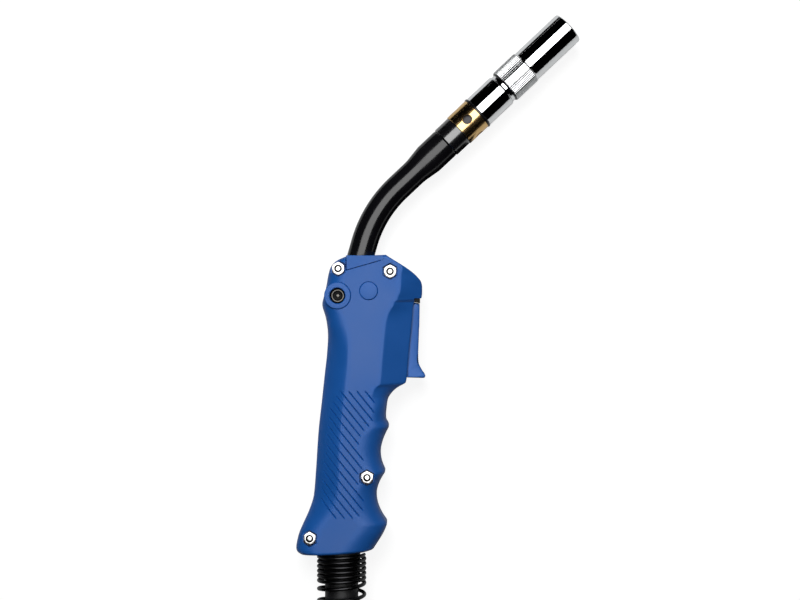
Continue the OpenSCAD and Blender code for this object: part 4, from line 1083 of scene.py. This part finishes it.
def head_wave(r, z, angle):
    """The knurl round the head of the clamp screw."""
    if r < CLAMP_HEAD_R - 0.1 or not CLAMP_KNURL_LOW < z < CLAMP_KNURL_HIGH:
        return 0.0
    return -0.25 * abs((angle / TAU * CLAMP_KNURL_RIBS) % 1.0 - 0.5) * 2


clamp_profile = [
    (0, 10), (2, 10), (2, CLAMP_HEAD_LOW), (CLAMP_HEAD_R, CLAMP_HEAD_LOW), (CLAMP_HEAD_R, 26.4),
    (CLAMP_HEAD_R, 29.2), (3.9, CLAMP_HEAD_HIGH), (2.5, CLAMP_HEAD_HIGH), (2.3, 29.7), (0, 29.7),
]
clamp_screw = lathe_mesh(soften(clamp_profile, 0.2), CLAMP_PLACE, 8 * CLAMP_KNURL_RIBS, head_wave)
clamp_screw = carve(clamp_screw, hex_mesh(3, 27.8, 32, CLAMP_PLACE, turn=0.3))
stand_in("clamp_screw_head", clamp_screw, "oxide_black", "neck_clamp_screw")
for name, material, radius, profile in (
    ("clamp_washer", "oxide_black", 0.05, [(4.0, 26.02), (4.65, 26.02), (4.65, 26.4), (4.0, 26.4)]),
    (
        "clamp_screw_rim", "gunmetal", 0.12,
        [(2.95, 29.9), (3.85, 29.9), (3.8, 30.2), (3.6, 30.3), (3.1, 30.3)],
    ),
    ("clamp_screw_pip", "gunmetal", 0.2, [(0, 27.7), (1.25, 27.7), (1.1, 28.1), (0, 28.3)]),
):
    addition(name, lathe_mesh(soften(profile, radius), CLAMP_PLACE, 96), material)

# ---------- Trigger ----------

# The outline from the trigger's top at the front, down its toothed front, and round its foot and back
TRIGGER_FRONT = [
    (32.75, 15.4), (32.6, 6), (32.4, -3), (32.05, -13.2), (32.1, -18), (32.7, -21), (34.2, -24),
    (35.7, -26.1),
]
TRIGGER_TOP = [
    (31.6, 16.2), (29.4, 16.55), (27.5, 16.5), (26, 16.1), (24.3, 15.2), (23, 14.0), (22.1, 12), (21.5, 9),
]
TRIGGER_FOOT = [(21.5, -28.1), (34.9, -28.5), (35.7, -28.2), (36.1, -27.5), (36.1, -26.9)]
TRIGGER_HALF, TRIGGER_EDGE = 7.0, 0.7
TEETH_LOW, TEETH_HIGH = -22.5, 2.5
TOOTH_PITCH, TOOTH_DEPTH = 1.25, 0.28
TEETH_FADE = 2.0
TRIGGER_SPRING_Y = -23.5


def catmull(points, per):
    """A smooth curve through points, with per steps from each to the next."""
    pts = [np.array(p, float) for p in points]
    pts = [2 * pts[0] - pts[1], *pts, 2 * pts[-1] - pts[-2]]
    out = []
    for p0, p1, p2, p3 in zip(pts, pts[1:], pts[2:], pts[3:]):
        for k in range(per):
            t = k / per
            square, cube = 2 * p0 - 5 * p1 + 4 * p2 - p3, 3 * p1 - p0 - 3 * p2 + p3
            out.append(0.5 * (2 * p1 + (p2 - p0) * t + square * t * t + cube * t ** 3))
    return out + [pts[-2]]


def trigger_outline():
    """The trigger's side view, counter-clockwise, with fine teeth across its front."""
    front = []
    for x, y in catmull(TRIGGER_FRONT, 24):
        depth = 0.0
        if TEETH_LOW < y < TEETH_HIGH:
            depth = TOOTH_DEPTH * abs(((y - TEETH_LOW) / TOOTH_PITCH) % 1.0 - 0.5) * 2
            depth *= min(1.0, (TEETH_HIGH - y) / TEETH_FADE, (y - TEETH_LOW) / TEETH_FADE)
        front.append((x - depth, y))
    return np.array(TRIGGER_TOP + TRIGGER_FOOT + front[::-1] + [(32.3, 16.0)])


def trigger_mesh():
    pts = trigger_outline()
    along = np.roll(pts, -1, axis=0) - np.roll(pts, 1, axis=0)
    along /= np.linalg.norm(along, axis=1)[:, None]
    normals = np.stack([along[:, 1], -along[:, 0]], axis=1)
    half, edge = TRIGGER_HALF, TRIGGER_EDGE
    rings = []
    for z, inset in (
        (-half, edge), (-half + 0.2, 0.32), (-half + edge, 0), (half - edge, 0), (half - 0.2, 0.32),
        (half, edge),
    ):
        rings.append([(*(p - inset * n), MID_Z + z) for p, n in zip(pts, normals)])
    nose = block((16.5, -8, MID_Z - 2.5), (24.5, -4, MID_Z + 2.5))
    body = carve(rings_mesh(rings), nose, operation="UNION")
    pocket = Matrix(((0, 0, -1, 25), (0, 1, 0, TRIGGER_SPRING_Y), (1, 0, 0, MID_Z), (0, 0, 0, 1)))
    return carve(
        body, rod(*PIVOT, 0, 36, PIN_HOLE_R),
        lathe_mesh([(0, 0), (3.2, 0), (3.2, 10), (0, 10)], pocket, 32),
    )


stand_in("trigger_lever", trigger_mesh(), "trigger_blue", "trigger", body="trigger")

BUMPER = [
    (29.0, 16.75), (31.65, 16.33), (32.35, 16.13), (32.7, 15.95), (32.95, 16.2), (32.95, 18.8),
    (32.7, 19.05), (29.0, 19.05),
]
BUMPER_HALF = 9.1
bumper_mesh = prism_mesh(BUMPER, MID_Z - BUMPER_HALF, MID_Z + BUMPER_HALF)
addition("trigger_bumper", bumper_mesh, "oxide_black")

# ---------- Springs that the trigger and the contact pins squash ----------

SMALL_SIDES, SMALL_STEPS = 8, 24
along_x = facing((1, 0), 10.45, TRIGGER_SPRING_Y, MID_Z)
wire_mesh = spring_mesh(along_x, 2.15, 0.7, [(1, 1.2), (4, 2.8), (1, 1.2)], SMALL_SIDES, SMALL_STEPS)
return_spring = stand_in("trigger_return_wire", wire_mesh, "steel", "trigger_spring")
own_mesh(return_spring)

for letter, x in (("a", -22.145), ("b", -5.855)):
    along_y = Matrix(((1, 0, 0, x), (0, 0, 1, -491.5), (0, -1, 0, 12.365), (0, 0, 0, 1)))
    wire_mesh = spring_mesh(along_y, 1.96, 0.5, [(1, 1), (2, 1.6), (1, 1)], SMALL_SIDES, SMALL_STEPS)
    pin_spring = stand_in("pin_spring_wire_" + letter, wire_mesh, "steel", "plug_pin_spring_" + letter)
    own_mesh(pin_spring)

# ---------- Neck ----------

NECK_FOOT = 15
NECK_BEND_STEPS = 64
JACKET_END_S = 100.85
# Radius of the jacket by the distance behind the nozzle's mouth: it flares at its end
JACKET_R = [(100.8, 9.55), (115.0, 9.55), (125.7, 8.0), (500, 8.0)]
JACKET_BORE_R = 5.56
FLARE_BACK_S, FLARE_SOFTNESS = 130, 0.8


def neck_centre():
    """Points of the jacket's centreline, from behind its bend to its end, and their s behind the mouth."""
    centre = NECK_BEND_START + NECK_BEND_R * np.array([EXIT_AXIS[1], -EXIT_AXIS[0]])
    out = [(NECK_BEND_START - NECK_FOOT * EXIT_AXIS * (1 - k / 6)) for k in range(6)]
    for k in range(NECK_BEND_STEPS + 1):
        t = EXIT_TILT + (NOZZLE_TILT - EXIT_TILT) * k / NECK_BEND_STEPS
        out.append(centre + NECK_BEND_R * np.array([-math.cos(t), math.sin(t)]))
    bend_s = float((MOUTH - out[-1]) @ NOZZLE_AXIS)
    s_values = [bend_s] * len(out)
    s = bend_s - 1.0
    while s > JACKET_END_S + 0.3:
        s_values.append(s)
        s -= 0.45 if s < FLARE_BACK_S - 3 else 2.0
    s_values.append(JACKET_END_S)
    out += [MOUTH - s * NOZZLE_AXIS for s in s_values[len(out):]]
    return np.array([(x, y, MID_Z) for x, y in out]), np.array(s_values)


def jacket_mesh():
    points, s = neck_centre()
    radii = np.interp(s, *zip(*JACKET_R))
    soft = radii.copy()
    for k in range(len(s)):
        if s[k] < FLARE_BACK_S:
            near = np.exp(-0.5 * ((s - s[k]) / FLARE_SOFTNESS) ** 2) * (s < FLARE_BACK_S + 1)
            soft[k] = (radii * near).sum() / near.sum()
    # A rounded edge at the end
    soft[-1] -= 0.45
    soft[-2] = max(soft[-2] - 0.12, soft[-1])
    outer = tube_rings(points, soft, 72)
    inner = tube_rings(points, np.full(len(points), JACKET_BORE_R), 72)
    return rings_mesh(outer + inner[::-1], cyclic=True)


stand_in("neck_sleeve", jacket_mesh(), "neck_black", "neck_jacket", sharp=math.radians(40))

# ---------- Nozzle: heights are in front of its mouth, so most are negative ----------

KNURL_RIBS = 60
KNURL_BACK, KNURL_FRONT = -51.35, -34.9
KNURL_DEPTH = 0.183
# Across one rib, from -1 to 1: a V root, a chamfer, a flat top, a wider chamfer and a V root
KNURL_TURN, KNURL_HEIGHT = [-1, -0.95, -0.45, 0.625, 0.95, 1], [-1, -1, 0, 0, -1, -1]
CHROME_SHARP = math.radians(24)


def knurl_wave(r, z, angle):
    """Ribs of the knurl on the barrel's collar."""
    if r < 9.5 or not KNURL_BACK < z < KNURL_FRONT:
        return 0.0
    u = ((angle / TAU * KNURL_RIBS) % 1.0 - 0.5) * 2
    return KNURL_DEPTH * float(np.interp(u, KNURL_TURN, KNURL_HEIGHT))


BARREL = [
    (8.0, -0.35, 0), (8.25, 0, 0), (9.75, 0, 0.3), (10.3, -0.55, 0.4), (10.3, -34.3, 0.15),
    (10.45, -34.6, 0), (10.8, -35.2, 0.1), (10.8, -36, 0), (10.8, -50.2, 0), (10.8, -51.2, 0.1),
    (10.6, -51.55, 0), (8.6, -51.6, 0), (8.6, -38, 0), (8.0, -37.6, 0),
]
barrel_mesh = lathe_mesh(soften(BARREL), behind_mouth(0), 20 * KNURL_RIBS, knurl_wave)
stand_in("nozzle_tube", barrel_mesh, "chrome", "nozzle_shell", body="nozzle", sharp=CHROME_SHARP)

# The bottom of the round groove, and its side that faces the nozzle's mouth
GROOVE = [
    (9.5, -52.3), (9.45, -52.6), (9.41, -53.0), (9.40, -53.4), (9.42, -53.75), (9.50, -54.1), (9.66, -54.4),
    (9.88, -54.7), (10.15, -55.0),
]
ADAPTOR = [
    (7.25, -38.3, 0.1), (8.5, -38.3, 0.3), (8.5, -51.65, 0.1), (9.5, -51.65, 0),
    *[(r, z, 0) for r, z in catmull(GROOVE, 4)],
    (10.3, -55.3, 0.2), (10.3, -73.9, 0.3), (10.0, -74.2, 0.1), (7.25, -74.2, 0),
]
INSULATOR = [
    (5.56, -58.7, 0), (7.18, -58.7, 0), (7.18, -74.21, 0), (10.75, -74.21, 0.25), (10.75, -75.39, 0.25),
    (5.56, -75.39, 0),
]
FRONT_SLEEVE = [(5.56, -90.22, 0), (9.9, -90.22, 0.5), (9.9, -100.78, 0.5), (5.56, -100.78, 0)]
CONTACT_TIP = [
    (0.6, -3.3, 0), (0.85, -3.0, 0), (1.9, -3.0, 0.4), (4.0, -9.0, 0.6), (4.0, -36, 0.2), (2.95, -36, 0),
    (2.95, -43.6, 0.3), (0.6, -44, 0),
]
GROOVE_RING = [
    (9.0, -51.62, 0), (10.62, -51.62, 0.1), (10.55, -51.8, 0.05), (9.75, -52.55, 0.1), (9.0, -52.6, 0),
]
GAS_RING = [(7.92, -75.42, 0), (10.3, -75.42, 0.35), (10.3, -90.18, 0.35), (7.92, -90.18, 0)]
GAS_HOLE = [(0, 6), (2.8, 6), (2.8, 9.95), (3.0, 10.15), (3.0, 12), (0, 12)]
GAS_HOLES = 4
GAS_HOLE_S = 82.8
GAS_HOLE_TURN = math.radians(-5)


def nozzle_lathe(profile, segments):
    return lathe_mesh(soften(profile), behind_mouth(0), segments)


def gas_ring_mesh():
    sideways = Matrix.Rotation(math.pi / 2, 4, "Y")
    holes = []
    for k in range(GAS_HOLES):
        turn = Matrix.Rotation(TAU * k / GAS_HOLES + GAS_HOLE_TURN, 4, "Z")
        holes.append(lathe_mesh(GAS_HOLE, behind_mouth(GAS_HOLE_S) @ turn @ sideways, 48))
    return carve(nozzle_lathe(GAS_RING, 128), *holes)


stand_in("adaptor_sleeve", nozzle_lathe(ADAPTOR, 144), "chrome", "nozzle_adaptor", sharp=CHROME_SHARP)
addition("groove_ring", nozzle_lathe(GROOVE_RING, 144), "neck_black")
stand_in("insulating_flange", nozzle_lathe(INSULATOR, 128), "neck_black", "nozzle_insulator")
stand_in("brass_gas_ring", gas_ring_mesh(), "brass", "gas_ring")
stand_in("front_insulator", nozzle_lathe(FRONT_SLEEVE, 128), "sleeve_black", "front_sleeve")
stand_in("wire_tip", nozzle_lathe(CONTACT_TIP, 64), "copper", "contact_tip")

# ---------- Strap round the coil ----------

STRAP_W, STRAP_H, STRAP_CORNER = 41.8, 40.6, 6.0
STRAP_HALF = 7.0
STRAP_EDGE, STRAP_BEVEL = 0.35, 0.3


def rounded_rect(w, h, r):
    """A rectangle with round corners, as ten steps round each."""
    out = []
    for quarter, (cx, cy) in enumerate(((1, 1), (-1, 1), (-1, -1), (1, -1))):
        for k in range(11):
            a = math.radians(90 * quarter + 9 * k)
            out.append((cx * (w / 2 - r) + r * math.cos(a), cy * (h / 2 - r) + r * math.sin(a)))
    return np.array(out)


def strap_mesh(place):
    inner = rounded_rect(STRAP_W, STRAP_H, STRAP_CORNER - STRAP_THICK)
    outer = rounded_rect(STRAP_W + 2 * STRAP_THICK, STRAP_H + 2 * STRAP_THICK, STRAP_CORNER)
    edge = STRAP_HALF - STRAP_EDGE
    rings = []
    for outline, z, grow in (
        (inner, -STRAP_HALF, STRAP_BEVEL), (outer, -STRAP_HALF, -STRAP_BEVEL), (outer, -edge, 0),
        (outer, edge, 0), (outer, STRAP_HALF, -STRAP_BEVEL), (inner, STRAP_HALF, STRAP_BEVEL),
        (inner, edge, 0), (inner, -edge, 0),
    ):
        outwards = outline / np.linalg.norm(outline, axis=1)[:, None]
        rings.append([place @ Vector((*p, z)) for p in outline + grow * outwards])
    return rings_mesh(rings, cyclic=True)


stand_in("coil_band", strap_mesh(down_cable(COIL_CENTRE[1], 21.5, 224.94)), "dark_plastic", "coil_strap")

# ---------- Connector: heights are in front of the back of its spring ----------

HOOD_R, HOOD_FRONT = 24, 104
HOOD_BORE_R = 13.0
HOOD_GROOVES = 4
HOOD_SCREW_S = 94
hood_profile = [
    (10.06, 36, 0), (10.9, 36, 0.3), (11.3, 36.6, 0.3), (11.3, 48, 0.4), (16.3, 48, 0.8), (18.2, 53, 1.0),
    (17.9, 53.8, 0.4), (18.5, 55.0, 0.4), (20.1, 58.8, 0.6), (19.8, 59.6, 0.4), (20.4, 60.8, 0.4),
    (22.0, 64.6, 0.6), (21.7, 65.4, 0.4), (22.3, 66.6, 0.4), (HOOD_R, 71.5, 1.5),
]
for k in range(HOOD_GROOVES):
    s = 76.0 + 4 * k
    bottom = HOOD_R - 0.7
    hood_profile += [
        (HOOD_R, s, 0.4), (bottom, s + 0.5, 0.3), (bottom, s + 1.7, 0.3), (HOOD_R, s + 2.2, 0.4),
    ]
hood_profile += [
    (HOOD_R, HOOD_FRONT - 1, 0.9), (HOOD_R - 0.8, HOOD_FRONT, 0.5), (HOOD_BORE_R, HOOD_FRONT, 0),
    (HOOD_BORE_R, 51, 0), (10.06, 51, 0),
]
screw_place = at(CABLE_X, PLUG_Y - HOOD_SCREW_S, PLUG_Z)
hood_hole = [(0, 8), (1.55, 8), (1.55, 19.8), (3.2, 19.8), (3.2, 23.6), (3.6, 24.1), (3.6, 27), (0, 27)]
hood_mesh = carve(lathe_mesh(soften(hood_profile), plug_at(0), 120), lathe_mesh(hood_hole, screw_place, 48))
stand_in("connector_hood", hood_mesh, "black_plastic", "plug_hood")

screw_profile = [(0, 9.85), (1.5, 9.85), (1.5, 20.0), (2.9, 20.0), (2.9, 22.6), (0, 22.6)]
screw_mesh = lathe_mesh(soften(screw_profile, 0.3), screw_place, 48)
screw_mesh = carve(screw_mesh, hex_mesh(2, 21.2, 24, screw_place))
stand_in("hood_socket_screw", screw_mesh, "steel", "plug_hood_screw")

RING_BACK, RING_R = 104.4, 23
RING_FRONT = RING_BACK + 32
RING_BORE_R, RING_LIP_R = 18.9, 17.85
GRIP_FLUTES, FLUTE_DEPTH, FLUTE_HALF = 16, 1.4, 2.1
FLUTES_BACK, FLUTES_FADE = RING_BACK + 3, 2.0
THREADS_BACK, THREAD_HEIGHT = RING_BACK + 14, 2.4


def ring_wave(r, z, angle):
    """Grip flutes round the coupling ring, which run out before its back edge."""
    if r < 21 or z < FLUTES_BACK:
        return 0.0
    u = (angle / TAU * GRIP_FLUTES + 0.5) % 1.0 - 0.5
    across = u / GRIP_FLUTES * TAU * r
    depth = FLUTE_DEPTH * min(1.0, (z - FLUTES_BACK) / FLUTES_FADE)
    return -depth * max(0.0, 1 - (across / FLUTE_HALF) ** 2) ** 0.5


ring_profile = [
    (RING_LIP_R, RING_BACK, 0), (21.8, RING_BACK, 0.6), (RING_R, RING_BACK + 1.2, 0.6),
    *[(RING_R, RING_BACK + up, 0) for up in (3, 4, 5, 14, 24)],
    (RING_R, RING_FRONT - 1, 0.4), (22.1, RING_FRONT, 0.4), (19.6, RING_FRONT, 0.2),
    (RING_BORE_R, RING_FRONT - 0.7, 0),
]
z = RING_FRONT - 1.4
while z > THREADS_BACK:
    ring_profile += [(RING_BORE_R, z, 0), (RING_BORE_R + 0.7, z - 1.0, 0), (RING_BORE_R, z - 2.0, 0)]
    z -= THREAD_HEIGHT
ring_profile += [(RING_BORE_R, RING_BACK + 5.2, 0), (RING_LIP_R, RING_BACK + 5.2, 0)]
ring_mesh = lathe_mesh(soften(ring_profile), plug_at(0), 20 * GRIP_FLUTES, ring_wave)
stand_in("coupling_ring", ring_mesh, "black_plastic", "plug_nut", body="coupling_nut")

# ---------- Floor, light and reflections: lengths are in metres from here on ----------


def seen_directly(tree):
    """1 for what is seen directly, in a reflection or through glass, and 0 for what lights a surface."""
    path = tree.nodes.new("ShaderNodeLightPath")
    seen = path.outputs["Is Camera Ray"]
    for ray in ("Is Glossy Ray", "Is Transmission Ray"):
        either = tree.nodes.new("ShaderNodeMath")
        either.operation = "MAXIMUM"
        tree.links.new(seen, either.inputs[0])
        tree.links.new(path.outputs[ray], either.inputs[1])
        seen = either.outputs[0]
    return seen


def glowing_floor():
    """A white floor with faint shadows, which lights the object as a grey one would."""
    material = bpy.data.materials.new("floor")
    material.use_nodes = True
    tree = material.node_tree
    tree.nodes.remove(tree.nodes["Principled BSDF"])
    plain = tree.nodes.new("ShaderNodeBsdfDiffuse")
    plain.inputs["Color"].default_value = (0.4, 0.4, 0.4, 1)
    glow = tree.nodes.new("ShaderNodeEmission")
    glow.inputs["Strength"].default_value = 0.90
    faint = tree.nodes.new("ShaderNodeBsdfDiffuse")
    faint.inputs["Color"].default_value = (0.19, 0.19, 0.19, 1)
    both = tree.nodes.new("ShaderNodeAddShader")
    tree.links.new(glow.outputs[0], both.inputs[0])
    tree.links.new(faint.outputs[0], both.inputs[1])
    mix = tree.nodes.new("ShaderNodeMixShader")
    tree.links.new(seen_directly(tree), mix.inputs["Fac"])
    tree.links.new(plain.outputs[0], mix.inputs[1])
    tree.links.new(both.outputs[0], mix.inputs[2])
    tree.links.new(mix.outputs[0], tree.nodes["Material Output"].inputs["Surface"])
    return material


def card_finish(name, colour):
    """A dull finish without any gloss."""
    material = bpy.data.materials.new(name)
    material.use_nodes = True
    inputs = material.node_tree.nodes["Principled BSDF"].inputs
    inputs["Base Color"].default_value = (*colour, 1)
    inputs["Roughness"].default_value = 1.0
    inputs["Specular IOR Level"].default_value = 0.0
    return material


def stage_mesh(name, verts, faces, material):
    mesh = bpy.data.meshes.new(name)
    mesh.from_pydata(verts, [], faces)
    mesh.materials.append(material)
    obj = bpy.data.objects.new(name, mesh)
    bpy.context.scene.collection.objects.link(obj)
    return obj


def card(name, verts, material, faces=None):
    """A sheet that only reflections see."""
    obj = stage_mesh(name, verts, faces or [tuple(range(len(verts)))], material)
    obj.visible_camera = obj.visible_diffuse = obj.visible_shadow = obj.visible_transmission = False
    obj.visible_volume_scatter = False


def square(half, z):
    return [(-half, -half, z), (half, -half, z), (half, half, z), (-half, half, z)]


stage_mesh("floor", square(6, 0), [(0, 1, 2, 3)], glowing_floor())

# The tent: a dark ceiling round the softbox, and dark walls down to the floor. Boxes are (lowest across,
# highest across, lowest along, highest along), from the tent's centre
TENT_CENTRE = (0.10, 0.16)
WINDOW = (-0.765, 0.53, -0.62, 0.95)
TENT = (-2.4, 2.4, -2.4, 2.6)
CEILING = 1.40
TENT_FOOT = 0.004


def tent_point(across, along, z):
    """A point by its distance across the nozzle's line (positive to its lower right) and along it."""
    ax, ay = NOZZLE_AXIS
    return (TENT_CENTRE[0] + across * ay + along * ax, TENT_CENTRE[1] - across * ax + along * ay, z)


def corners(box, z):
    places = ((0, 2), (1, 2), (1, 3), (0, 3))
    return [tent_point(box[across], box[along], z) for across, along in places]


black = card_finish("flag", (0.004, 0.004, 0.004))
grey = card_finish("grey_card", (0.68, 0.69, 0.69))
card(
    "tent", corners(WINDOW, CEILING) + corners(TENT, CEILING) + corners(TENT, TENT_FOOT), black,
    [(k + up, (k + 1) % 4 + up, (k + 1) % 4 + 4 + up, k + 4 + up) for up in (0, 4) for k in range(4)],
)
card("grey_card", square(0.9, 0.001), grey)
FLOOR_CARD = [(-0.095, -0.35), (-0.095, 0.03), (0.045, 0.215), (0.40, 0.54), (-1.6, 2.2), (-2.2, -0.35)]
card("floor_card", [(x, y, 0.0015) for x, y in FLOOR_CARD], black)
# A black card under the neck, which only reflections see: painted shade of the floor beneath the neck
NECK_SHADE_CARD = [(0.0608, 0.1157), (-0.0196, 0.0399), (0.0449, -0.0285), (0.1337, 0.0552)]
card("neck_shade_card", [(x, y, 0.002) for x, y in NECK_SHADE_CARD], black)


def area_light(name, place, rotation, size, power, glossy):
    """A lamp that the camera doesn't see. It shows in reflections or lights surfaces, never both."""
    data = bpy.data.lights.new(name, "AREA")
    data.shape = "RECTANGLE"
    data.size, data.size_y = size
    data.energy = power
    obj = bpy.data.objects.new(name, data)
    obj.location = place
    obj.rotation_euler = rotation
    obj.visible_camera = False
    obj.visible_glossy = glossy
    obj.visible_diffuse = not glossy
    bpy.context.scene.collection.objects.link(obj)


window_middle = tent_point((WINDOW[0] + WINDOW[1]) / 2, (WINDOW[2] + WINDOW[3]) / 2, CEILING + 0.01)
window_size = (WINDOW[1] - WINDOW[0], WINDOW[3] - WINDOW[2])
window_turn = math.atan2(-NOZZLE_AXIS[0], NOZZLE_AXIS[1])
area_light("softbox", window_middle, (0, 0, window_turn), window_size, 19.0, glossy=True)
KEY_PLACE, KEY_TARGET = Vector((-0.10, 0.45, 1.0)), Vector((0.0, 0.05, 0.0))
key_rotation = (KEY_TARGET - KEY_PLACE).to_track_quat("-Z", "Y").to_euler()
area_light("key", KEY_PLACE, key_rotation, (0.5, 0.5), 10.2, glossy=False)

# A white world where the camera sees it, and a dim one for the light on surfaces
world = bpy.data.worlds.new("studio")
bpy.context.scene.world = world
world.use_nodes = True
world_tree = world.node_tree
background = world_tree.nodes["Background"]
background.inputs["Color"].default_value = (1, 1, 1, 1)
strength = world_tree.nodes.new("ShaderNodeMapRange")
strength.inputs["To Min"].default_value = 0.06
strength.inputs["To Max"].default_value = 1.0
world_tree.links.new(seen_directly(world_tree), strength.inputs["Value"])
world_tree.links.new(strength.outputs["Result"], background.inputs["Strength"])

bpy.context.scene.view_settings.view_transform = "Standard"
